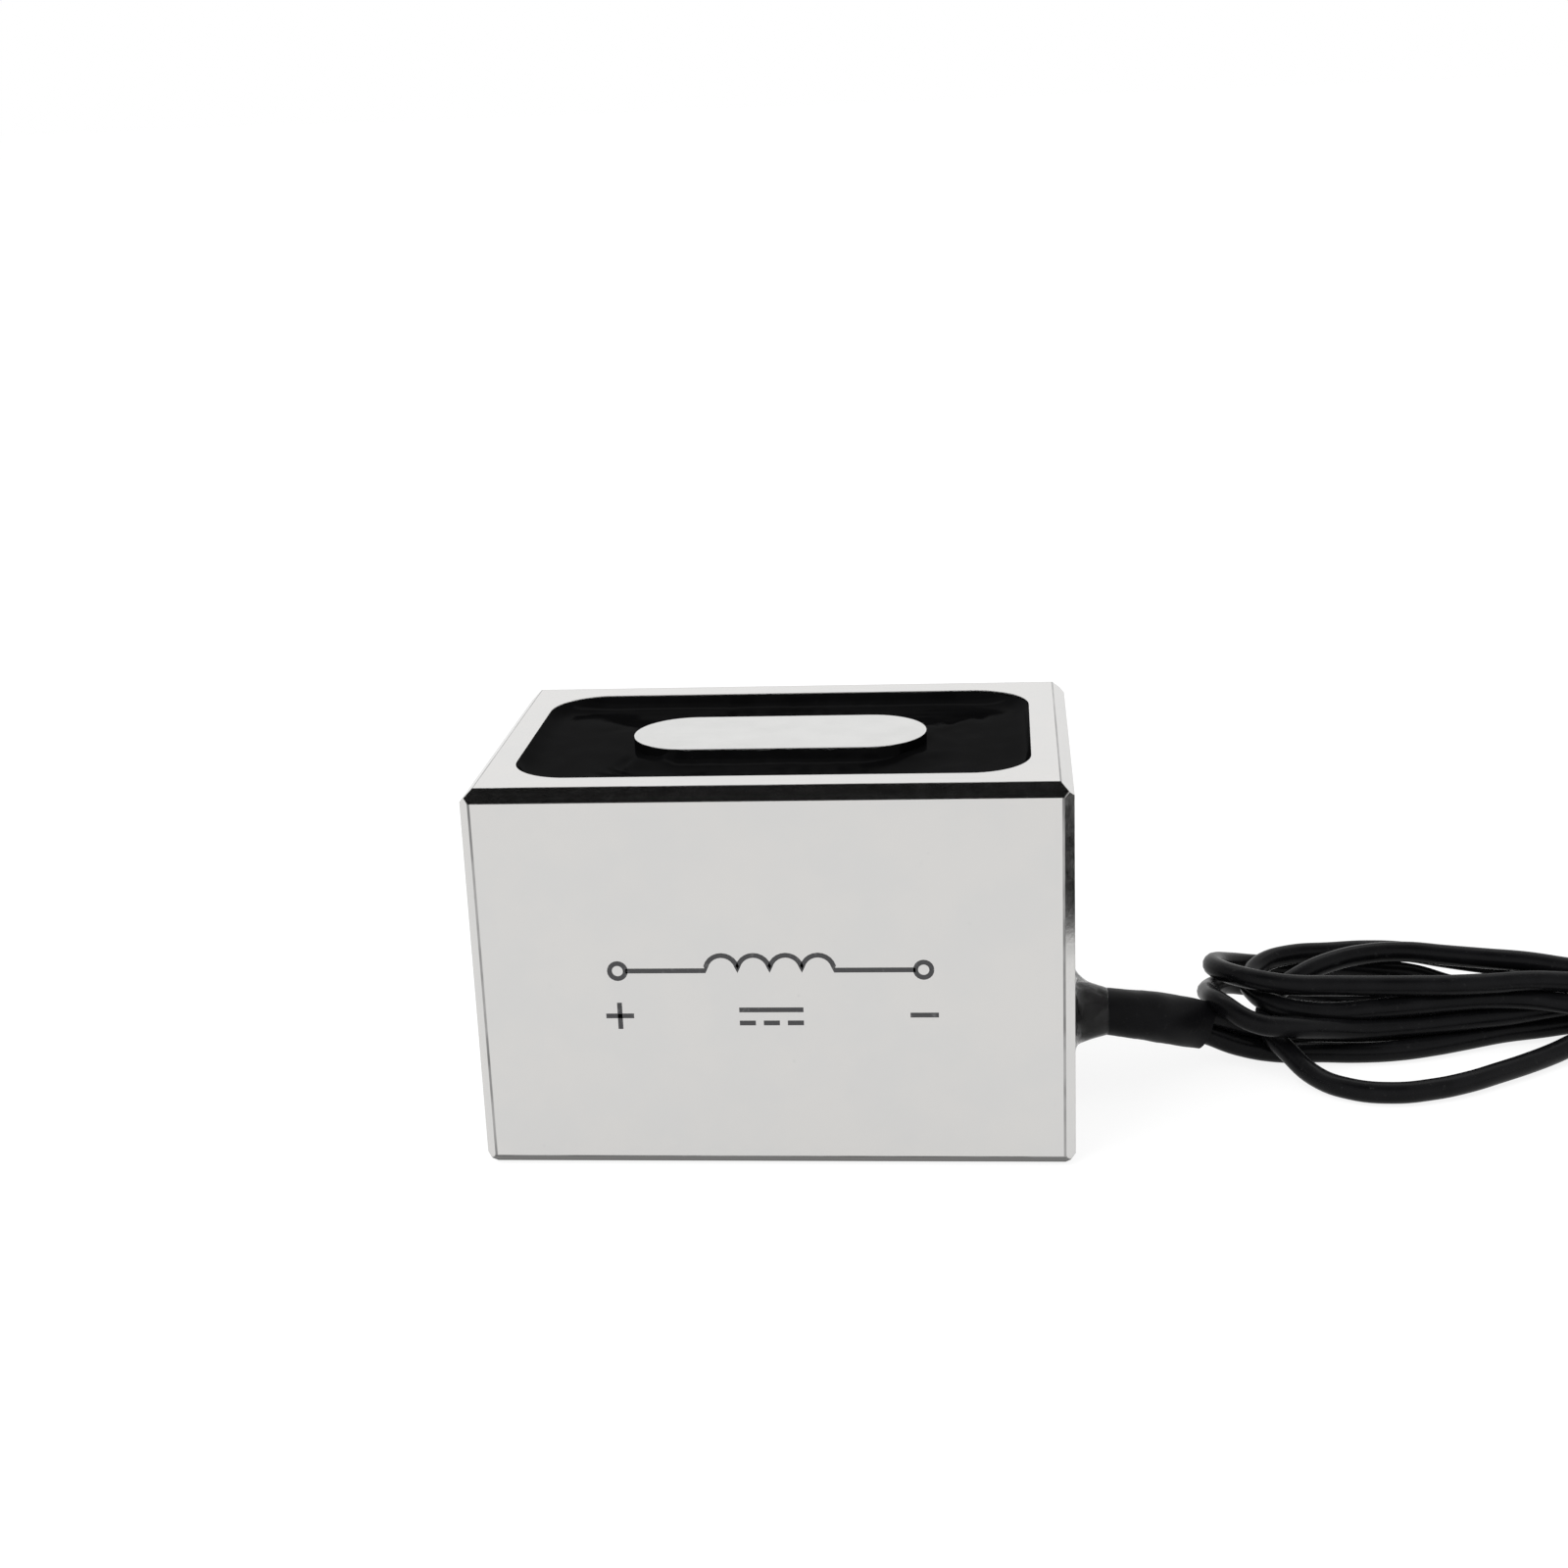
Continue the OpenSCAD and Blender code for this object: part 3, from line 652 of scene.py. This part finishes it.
def floor_material(settings):
    """White for the camera, with the object's shadow. Reflections see painted shade at the housing's foot and
    a dark card beside it.
    """
    graph = Graph("floor")
    x, y, _ = graph.axes()
    camera, glossy, through = graph.rays()
    seen = (camera + glossy + through).clamped()
    # Painted shade: reflections see the floor darker under the housing and just round its foot.
    under = (abs(x) - 15.3 * MM).largest(abs(y) - 10.3 * MM).ramp(-0.8 * MM, 0.4 * MM)
    card = (abs(x - 92 * MM) - 45 * MM).largest(abs(y + 10 * MM) - 6 * MM).ramp(-2 * MM, 2 * MM)
    diffuse = graph.node("BsdfDiffuse", values={"Color": tuple(settings.floor)})
    open_floor = 1 - glossy * (1 - under.largest(0.3).smallest(card))
    level = (0.86 - glossy * 0.16) * open_floor
    glow = graph.node("Emission", values={"Color": (1.0, 1.0, 1.0), "Strength": level})
    black = graph.node("Emission", values={"Color": (0.0, 0.0, 0.0), "Strength": 0.0})
    veil = graph.node("MixShader", values={0: open_floor * 0.18, 1: black, 2: diffuse})
    white = graph.node("AddShader", values={0: glow, 1: veil})
    mixed = graph.node("MixShader", values={0: seen, 1: diffuse, 2: white})
    graph.node("OutputMaterial", values={"Surface": mixed})
    return graph.owner


def sky(scene):
    """White backdrop, which lights the object at a plain level.

    Reflections see it a little darker overhead, with a small dark flag to the front, which the chamfer
    above the front face mirrors, and a bright strip behind, which shines in the resin.
    """
    graph = Graph("backdrop", "worlds")
    scene.world = graph.owner
    x, y, z = graph.axes(graph.node("TexCoord", output=0))
    camera, glossy, through = graph.rays()
    flag = abs(x + 0.10).ramp(0.36, 0.48, 1.0, 0.0) * abs(y + 0.32).ramp(0.22, 0.32, 1.0, 0.0)
    flag = flag * z.ramp(0.5, 0.6)
    overhead = z.ramp(0.40, 0.75, 1.0, 0.66) * (1 - flag)
    strip = (1 - abs(z - 0.82).ramp(0.03, 0.07)) * y.ramp(0.30, 0.45)
    plain = 0.62 + z.ramp(0.0, 1.0) * 0.45
    shown = (camera + through).clamped()
    strength = plain * (1 - shown) * (1 - glossy) + shown + glossy * (1 - shown) * (overhead + strip * 2.0)
    light = graph.node("Background", values={"Color": (1.0, 1.0, 1.0), "Strength": strength})
    graph.node("OutputWorld", values={"Surface": light})


class EM_OT_stage(bpy.types.Operator):
    """Sets the floor, the backdrop, the light and the camera"""

    bl_idname = "electromagnet.stage"
    bl_label = "Stage"

    def execute(self, context):
        settings = context.scene.em_stage
        scene = context.scene
        scene.view_settings.view_transform = "Standard"
        deselect()
        bpy.ops.mesh.primitive_plane_add(size=settings.floor_size, location=(0, 0, -FLOOR_DROP))
        bpy.ops.object.transform_apply(location=True, rotation=False, scale=False)
        floor = context.object
        floor.name = "floor"
        floor.data.materials.append(floor_material(settings))
        sky(scene)
        lamp = bpy.data.lights.new("softbox", "AREA")
        lamp.shape = "DISK"
        lamp.size = LAMP_SIZE
        lamp.energy = LAMP_POWER
        softbox = bpy.data.objects.new("softbox", lamp)
        softbox.matrix_world = look_at(LAMP_PLACE, LAMP_TARGET)
        softbox.visible_glossy = False
        scene.collection.objects.link(softbox)
        place_camera(scene)
        return {"FINISHED"}


def look_at(place, target):
    """Matrix that puts a lamp in its place and points it at a target."""
    turn = (target - place).to_track_quat("-Z", "Y").to_matrix().to_4x4()
    return Matrix.Translation(place) @ turn


def place_camera(scene):
    """Looks at the object as the photo does."""
    sin, cos = math.sin, math.cos
    ahead = Vector((
        sin(CAMERA_YAW) * cos(CAMERA_PITCH), cos(CAMERA_YAW) * cos(CAMERA_PITCH), -sin(CAMERA_PITCH)
    ))
    level = Vector((cos(CAMERA_YAW), -sin(CAMERA_YAW), 0))
    above = level.cross(ahead)
    right = level * cos(CAMERA_ROLL) + above * sin(CAMERA_ROLL)
    up = above * cos(CAMERA_ROLL) - level * sin(CAMERA_ROLL)
    data = bpy.data.cameras.new("camera")
    data.sensor_width = SENSOR
    data.lens = CAMERA_FOCAL * SENSOR / PHOTO_SIZE
    data.clip_start, data.clip_end = 0.005, 20.0
    camera = bpy.data.objects.new("camera", data)
    turn = Matrix((right, up, -ahead)).transposed().to_4x4()
    camera.matrix_world = Matrix.Translation(millimetres(*CAMERA_PLACE)) @ turn
    scene.collection.objects.link(camera)
    scene.camera = camera


# ---------------------------------------------------------------- sleeve, glue, tie


# Middle of the sleeve, as (distance from the end wall, y, z), and its half width and half height.
SLEEVE_ROUTE = [
    (-2, 0, 4.2), (0, 0, 4.2), (1.8, 0.02, 4.18), (3.8, 0.70, 3.68), (5.6, 1.55, 3.04), (7.4, 2.40, 2.34),
]
SLEEVE_WIDE, SLEEVE_HIGH = 1.36, 1.24
# Past the glue it shrinks onto the pair of leads: between these points of its route, and by this height.
SLEEVE_HUG_OVER, SLEEVE_HUG = (3.3, 5.0), 0.54


class EM_OT_sleeve(bpy.types.Operator):
    """Shrinks the sleeve over both leads where they leave the housing"""

    bl_idname = "electromagnet.sleeve"
    bl_label = "Shrink sleeve"

    def execute(self, context):
        settings = context.scene.em_leads
        steps, count = 7, 40
        line_a, line_b, middle = (
            smooth_route([in_row_frame(point) for point in points], steps)
            for points in (LEAD_A[:8], LEAD_B[:8], SLEEVE_ROUTE)
        )
        outer, inner = [], []
        for index, (point, ahead) in enumerate(zip(middle, directions(middle))):
            near_a = min(line_a, key=lambda p: (p - point).length)
            near_b = min(line_b, key=lambda p: (p - point).length)
            across = near_b - near_a
            across = (across - ahead * across.dot(ahead)).normalized()
            up = ahead.cross(across)
            hug = step_up(index / steps, *SLEEVE_HUG_OVER)
            for loop, wall in ((outer, 0.0), (inner, settings.sleeve_wall / MM * (1 - 0.7 * hug))):
                ring = []
                for angle in circle(count):
                    place = Vector((index * 0.30, 2 * math.cos(angle), 2 * math.sin(angle)))
                    wrinkle = 1 + 0.022 * noise.noise(place) + 0.008 * noise.noise(place * 3.1)
                    wide = (SLEEVE_WIDE - wall) * wrinkle * MM
                    high = (SLEEVE_HIGH - SLEEVE_HUG * hug - wall) * wrinkle * MM
                    ring.append(point + across * wide * math.cos(angle) + up * high * math.sin(angle))
                loop.append(ring)
        piece = loft(outer + inner[::-1], joined=True, angle=50)
        finish = insulation("shrink_sleeve", settings.sleeve, 0.34, 3.0, 0.07)
        seated(piece, "shrink_sleeve", finish, "shrink_sleeve", "lead_sleeve")
        return {"FINISHED"}


# The glue from the hole to its thin edge, as (thickness on the sleeve, distance from the wall).
GLUE_PROFILE = [
    (-0.04, -1.9), (0.14, -1.9), (0.14, -0.02), (0.5, 0.0), (1.2, 0.01), (1.75, 0.02), (1.88, 0.06),
    (1.70, 0.13), (1.3, 0.24), (0.92, 0.42), (0.6, 0.70), (0.36, 1.05), (0.2, 1.4), (0.08, 1.75),
    (-0.02, 2.0), (-0.06, 1.9),
]


class EM_OT_glue(bpy.types.Operator):
    """Seals the leads at the end wall with a lumpy fillet of clear glue"""

    bl_idname = "electromagnet.glue"
    bl_label = "Glue seal"

    def execute(self, context):
        loops = []
        for thick, away, _ in smooth_route([Vector((thick, away, 0)) for thick, away in GLUE_PROFILE], 3):
            ring = []
            for angle in circle(72):
                y, z = math.cos(angle), math.sin(angle)
                lump = noise.noise(Vector((y * 1.3, z * 1.3, away * 0.8 + 4.0)))
                fine = noise.noise(Vector((y * 4.0, z * 4.0, away * 2.0 + 9.0)))
                free = min(max(thick / 0.5, 0.0), 1.0) if away > -0.01 else 0.0
                run = max(-z, 0) ** 2
                grow = 1 + free * (0.25 * lump + 0.08 * fine + 0.25 * run - 0.32 * max(z, 0))
                radius = 1 / math.hypot(y / SLEEVE_WIDE, z / SLEEVE_HIGH) + thick * grow
                reach = away * (1 + free * (0.30 * lump - 0.45 * run))
                ring.append(millimetres(END_WALL_X + reach, y * radius, LEAD_Z + z * radius))
            loops.append(ring)
        piece = loft(loops, joined=True, angle=60)
        seated(piece, "glue_fillet", clear_glue(), "seal_glue", "glue_seal")
        return {"FINISHED"}


# Outside of the tie's band, as (place across its width from -1 to 1, how far it is sunk in millimetres).
TIE_RIBS = [
    (-1.0, 0.34), (-0.96, 0.12), (-0.86, 0.0), (-0.74, 0.10), (-0.4, 0.16), (0.4, 0.16), (0.74, 0.10),
    (0.86, 0.0), (0.96, 0.12), (1.0, 0.34),
]
TIE_WALL = 0.45
# Twisted ends of the tie: length, half width and half thickness in millimetres, and turn in radians.
TWIST_LENGTH, TWIST_WIDE, TWIST_THICK, TWIST_TURN = 5.0, 0.85, 0.30, 7.5


def rounded_band(middle, half, place, sink, corner):
    """Points round a rectangle with round corners, in metres, at a place across the width of the band."""
    half_y, half_z = half.y - sink, half.z - sink
    ring = []
    for angle in circle(96):
        y, z = math.cos(angle), math.sin(angle)
        scale = 1 / max(abs(y) / half_y, abs(z) / half_z)
        y, z = y * scale, z * scale
        over_y, over_z = abs(y) - (half_y - corner), abs(z) - (half_z - corner)
        if over_y > 0 and over_z > 0:
            reach = math.hypot(over_y, over_z)
            y = math.copysign(half_y - corner + over_y / reach * corner, y)
            z = math.copysign(half_z - corner + over_z / reach * corner, z)
        ring.append(Vector((middle.x + place * half.x, middle.y + y, middle.z + z)))
    return ring


class EM_OT_tie(bpy.types.Operator):
    """Wraps the tie round the hank and twists its ends together"""

    bl_idname = "electromagnet.tie"
    bl_label = "Tie"

    def execute(self, context):
        settings = context.scene.em_leads
        low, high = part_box("hank_tie")
        middle, half = (low + high) / 2, (high - low) / 2
        outer = [rounded_band(middle, half, place, sink * MM, 1.2 * MM) for place, sink in TIE_RIBS]
        inner = [rounded_band(middle, half, place, TIE_WALL * MM, 0.9 * MM) for place in (1.0, 0.0, -1.0)]
        band = loft(outer + inner, joined=True, angle=50)
        start = Vector((middle.x + 0.1 * MM, middle.y - 0.8 * MM, high.z + 0.1 * MM))
        steps = 40
        twist = []
        for step in range(steps + 1):
            t = step / steps
            rise = 0.45 * math.sin(math.pi * t) - 0.15
            point = start + millimetres(TWIST_LENGTH * t, -0.9 * math.sin(2.4 * t), rise)
            cos, sin = math.cos(TWIST_TURN * t), math.sin(TWIST_TURN * t)
            ring = []
            for angle in circle(24):
                y, z = TWIST_WIDE * math.cos(angle), TWIST_THICK * math.sin(angle)
                ring.append(point + millimetres(0, y * cos - z * sin, y * sin * 0.75 + z * cos))
            twist.append(ring)
        twisted = loft(twist, angle=60)
        finish = insulation("tie_band", settings.tie, 0.34, 4.0, 0.15)
        seated(joined_pieces([band, twisted]), "hank_tie_band", finish, "tie_band", "hank_tie")
        return {"FINISHED"}


# ---------------------------------------------------------------- resin


# In millimetres: half length, half width and corner radius of the pocket and of the bobbin's flanges,
# half length and half width of the core, and the heights of faces.
POCKET = (13.0, 7.8, 3.0)
CORE = (7.65, 3.05)
BOBBIN = (12.6, 7.4, 2.6)
BOBBIN_TOP = 17.0
FLOOR_TOP = 2.5
RESIN_FACE = 19.45
# Gap between the resin and the parts that it touches, so that no two faces lie in one place.
SKIN = 0.004
RESIN_SPOKES = 480
# Half length and half width of the small obround from which the spokes of the resin's mesh run to the wall.
SPOKE_START = (4.9, 0.3)
# Where the resin's hollow beside the core ends, by side in x and y: at the core, midway and at the wall.
HOLLOWS = {
    (-1, 1): (8.6, 9.9, 12.2), (1, 1): (8.0, 11.0, 12.6),
    (-1, -1): (7.4, 7.5, 6.8), (1, -1): (7.9, 8.4, 7.7),
}
CREASE_DEPTH = 0.18
EDDY_PLACE = (9.3, 1.1)


def obround_walk(half_x, half_y, count):
    """Evenly spaced points round an obround, each with its outward direction."""
    straight = 2 * (half_x - half_y)
    half_lap = straight + math.pi * half_y
    walk = []
    for k in range(count):
        run, side = 2 * half_lap * k / count, 1
        if run >= half_lap:
            run, side = run - half_lap, -1
        if run < straight:
            walk.append((side * (run - straight / 2), -side * half_y, 0.0, -side))
        else:
            angle = (run - straight) / half_y - math.pi / 2
            cos, sin = side * math.cos(angle), side * math.sin(angle)
            walk.append((side * straight / 2 + half_y * cos, half_y * sin, cos, sin))
    return walk


def meets_rectangle(x, y, dx, dy, half_x, half_y, corner):
    """Where a ray from inside meets a rectangle with round corners."""
    low, high = 0.0, 40.0
    for _ in range(40):
        middle = (low + high) / 2
        px, py = x + dx * middle, y + dy * middle
        over_x, over_y = abs(px) - (half_x - corner), abs(py) - (half_y - corner)
        outside = max(over_x, 0.0) ** 2 + max(over_y, 0.0) ** 2 > corner**2
        low, high = (low, middle) if outside else (middle, high)
    return x + dx * low, y + dy * low


def hollow_end(side_x, side_y, across):
    """Where the hollow ends along x, at a share across it from the core to the wall."""
    near, middle, far = HOLLOWS[side_x, side_y]
    bend = 4 * across * (1 - across)
    return near + (far - near) * across + (middle - (near + far) / 2) * bend


def resin_height(x, y, edge, meniscus):
    """Height of the resin face: flat ends, hollow sides, creases between them, a lip at every wall."""
    side_x, side_y = (1 if x > 0 else -1), (1 if y > 0 else -1)
    across = min(max((abs(y) - CORE[1]) / (POCKET[1] - CORE[1]), 0.0), 1.0)
    past = abs(x) - hollow_end(side_x, side_y, across)
    inside = 1 - step_up(past, -0.75, 0.10)
    hollow = inside * (0.07 + 0.21 * math.sin(math.pi * across)) * step_up(abs(y), 2.4, 3.3)
    crease = CREASE_DEPTH * hump(past, 0.22, 0.20) * step_up(abs(y), 2.2, 3.3)
    eddy = 0.0
    if side_x > 0:
        away = math.hypot((x - EDDY_PLACE[0]) / 1.5, (y - EDDY_PLACE[1]) / 1.2)
        eddy = 0.05 * math.cos(5.2 * away) * math.exp(-away * away)
    ripple = 0.020 * noise.noise(Vector((x * 0.45, y * 0.45, 1.7)))
    ripple += 0.008 * noise.noise(Vector((x * 1.5, y * 1.5, 5.1)))
    ragged = 1 + 0.16 * noise.noise(Vector((x * 1.9, y * 1.9, 8.3)))
    lip = meniscus * math.exp(-((edge / 0.36) ** 1.2)) * ragged
    return min(RESIN_FACE + 0.03 - hollow - crease + ripple + eddy + lip, TOP - 0.02)


class EM_OT_resin(bpy.types.Operator):
    """Casts the resin round the coil, with its face just under the holding face"""

    bl_idname = "electromagnet.resin"
    bl_label = "Resin"

    def execute(self, context):
        settings = context.scene.em_body
        meniscus = settings.meniscus / MM
        core = [point[:2] for point in obround_walk(CORE[0] + SKIN, CORE[1] + SKIN, RESIN_SPOKES)]
        spokes = obround_walk(*SPOKE_START, RESIN_SPOKES)
        inside_pocket = (POCKET[0] - SKIN, POCKET[1] - SKIN, POCKET[2])
        round_flange = (BOBBIN[0] + SKIN, BOBBIN[1] + SKIN, BOBBIN[2])
        wall = [meets_rectangle(*spoke, *inside_pocket) for spoke in spokes]
        flange = [meets_rectangle(*spoke, *round_flange) for spoke in spokes]
        near = [0.0, 0.012, 0.028, 0.048, 0.072]
        shares = [*near, *[0.1 + 0.8 * k / 30 for k in range(31)], *[1 - share for share in reversed(near)]]
        loops = []
        for share in shares:
            ring = []
            for (ix, iy), (ox, oy) in zip(core, wall):
                x, y = ix + (ox - ix) * share, iy + (oy - iy) * share
                edge = min(share, 1 - share) * math.hypot(ox - ix, oy - iy)
                ring.append(millimetres(x, y, resin_height(x, y, edge, meniscus)))
            loops.append(ring)
        for outline, height in (
            (wall, FLOOR_TOP + SKIN), (flange, FLOOR_TOP + SKIN), (flange, BOBBIN_TOP), (core, BOBBIN_TOP),
        ):
            loops.append([millimetres(x, y, height) for x, y in outline])
        piece = loft(loops, joined=True, angle=35)
        seated(piece, "resin_fill", resin(settings), "resin", "potting")
        return {"FINISHED"}


# ---------------------------------------------------------------- thread and print


# In millimetres: pitch, radii of the bore and of the crests, and height of the first turn.
THREAD_PITCH, THREAD_BORE, THREAD_CREST, THREAD_FOOT = 0.7, 1.66, 1.50, 0.45
THREAD_TURNS = 10


class EM_OT_thread(bpy.types.Operator):
    """Cuts the turns of the mounting thread into the bore under the core"""

    bl_idname = "electromagnet.thread"
    bl_label = "Mounting thread"

    def execute(self, context):
        per_turn, run_in = 40, 12
        steps = per_turn * THREAD_TURNS
        loops = []
        for step in range(steps + 1):
            angle = 2 * math.pi * step / per_turn
            z = THREAD_FOOT + THREAD_PITCH * step / per_turn
            fade = min(1.0, step / run_in, (steps - step) / run_in)
            tip = THREAD_BORE - (THREAD_BORE - THREAD_CREST) * fade
            loops.append([
                millimetres(radius * math.cos(angle), radius * math.sin(angle), z + rise * max(fade, 0.2))
                for radius, rise in ((THREAD_BORE, -0.30), (THREAD_BORE, 0.30), (tip, 0.05), (tip, -0.05))
            ])
        finish = pole_steel(context.scene.em_body)
        seated(loft(loops, angle=30), "mounting_thread", finish, "pole_steel")
        return {"FINISHED"}


# The print in millimetres: its lines, and on the front face its terminals, coil, signs and current symbol.
LINE_WIDTH, INK_THICKNESS = 0.26, 0.02
TERMINAL_X, TERMINAL_RADIUS = 7.6, 0.4
COIL_Z, COIL_TURNS, TURN_RADIUS = 10.6, 4, 0.8
SIGN_Z, SIGN_HALF = 8.2, 0.7
CURRENT_HALF, CURRENT_GAP = 1.6, 0.3


def stroke(points):
    """Flat printed line on the front face through points (x, z) in millimetres."""
    route = [Vector((x, FRONT_Y, z)) for x, z in points]
    loops = []
    for point, ahead in zip(route, directions(route)):
        side = Vector((-ahead.z, 0, ahead.x)) * (LINE_WIDTH / 2)
        ring = []
        for angle in circle(8):
            angle += math.pi / 8
            raised = Vector((0, -INK_THICKNESS if math.sin(angle) < 0 else 0.0, 0))
            ring.append(millimetres(*(point + side * math.cos(angle) + raised)))
        loops.append(ring)
    return loft(loops)


def arc(cx, cz, radius, start, end, steps):
    """Points of an arc between two angles in degrees."""
    angles = [math.radians(start + (end - start) * k / steps) for k in range(steps + 1)]
    return [(cx + radius * math.cos(angle), cz + radius * math.sin(angle)) for angle in angles]


def level_line(start, end, z):
    return [(start, z), (end, z)]


class EM_OT_print(bpy.types.Operator):
    """Prints plain circuit symbols on the front: a coil, its terminals, plus, minus and direct current"""

    bl_idname = "electromagnet.print"
    bl_label = "Printed symbols"

    def execute(self, context):
        coil = [(-TERMINAL_X + TERMINAL_RADIUS, COIL_Z)]
        for k in range(COIL_TURNS):
            middle = (2 * k + 1 - COIL_TURNS) * TURN_RADIUS
            coil += arc(middle, COIL_Z, TURN_RADIUS, 180, 0, 12)[(1 if k else 0):]
        coil.append((TERMINAL_X - TERMINAL_RADIUS, COIL_Z))
        ends = [arc(x, COIL_Z, TERMINAL_RADIUS, 0, 360, 20) for x in (-TERMINAL_X, TERMINAL_X)]
        signs = [level_line(x - SIGN_HALF, x + SIGN_HALF, SIGN_Z) for x in (-TERMINAL_X, TERMINAL_X)]
        upright = [(-TERMINAL_X, SIGN_Z + SIGN_HALF), (-TERMINAL_X, SIGN_Z - SIGN_HALF)]
        current = [level_line(-CURRENT_HALF, CURRENT_HALF, SIGN_Z + CURRENT_GAP)]
        for start, end in ((-1.0, -0.5), (-0.25, 0.25), (0.5, 1.0)):
            current.append(level_line(start * CURRENT_HALF, end * CURRENT_HALF, SIGN_Z + CURRENT_GAP - 0.7))
        made = joined_pieces([stroke(points) for points in [coil, *ends, upright, *signs, *current]])
        seated(made, "front_print", ink(context.scene.em_body), "plated_steel")
        return {"FINISHED"}


class EM_OT_finishes(bpy.types.Operator):
    """Gives every CAD part that stays its own finish"""

    bl_idname = "electromagnet.finishes"
    bl_label = "Finishes"

    def execute(self, context):
        settings = context.scene.em_body
        copper = wound_wire("copper_wire", (0.56, 0.20, 0.07), 0.35 * MM)
        solder = plain_metal("solder", (0.62, 0.62, 0.63), 0.25, 4.0)
        tubing = soft_tube()
        bare = plain_metal("bare_copper", (0.78, 0.42, 0.26), 0.25, 8.0)
        finishes = {
            "housing": plated_steel(settings), "core": pole_steel(settings), "bobbin": nylon(),
            "winding": copper, "start_tail": copper, "finish_tail": copper, "coil_tape": tape_film(),
            "start_joint": solder, "finish_joint": solder,
            "start_joint_sleeve": tubing, "finish_joint_sleeve": tubing,
            "lead_a_strip": bare, "lead_b_strip": bare,
        }
        for node, finish in finishes.items():
            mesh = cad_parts[node].data
            mesh.materials.clear()
            mesh.materials.append(finish)
        return {"FINISHED"}


OPERATORS = [
    EM_OT_stage, EM_OT_leads, EM_OT_sleeve, EM_OT_glue, EM_OT_tie, EM_OT_resin, EM_OT_thread, EM_OT_print,
    EM_OT_finishes,
]


class EM_PT_panel(bpy.types.Panel):
    """Lists the pieces of the electromagnet and their settings"""

    bl_idname = "EM_PT_panel"
    bl_label = "Holding electromagnet"
    bl_space_type = "VIEW_3D"
    bl_region_type = "UI"
    bl_category = "Electromagnet"

    def draw(self, context):
        column = self.layout.column()
        for operator in OPERATORS:
            column.operator(operator.bl_idname)
        for group, kind in GROUPS.items():
            for name in kind.__annotations__:
                column.prop(getattr(context.scene, group), name)


CLASSES = [*GROUPS.values(), *OPERATORS, EM_PT_panel]


def register():
    for kind in CLASSES:
        bpy.utils.register_class(kind)
    for group, kind in GROUPS.items():
        setattr(bpy.types.Scene, group, PointerProperty(type=kind))


def unregister():
    for group in GROUPS:
        delattr(bpy.types.Scene, group)
    for kind in reversed(CLASSES):
        bpy.utils.unregister_class(kind)


def main():
    register()
    electromagnet = bpy.ops.electromagnet
    electromagnet.stage()
    electromagnet.leads()
    electromagnet.sleeve()
    electromagnet.glue()
    electromagnet.tie()
    electromagnet.resin()
    electromagnet.thread()
    electromagnet.print()
    electromagnet.finishes()


if __name__ == "__main__":
    main()
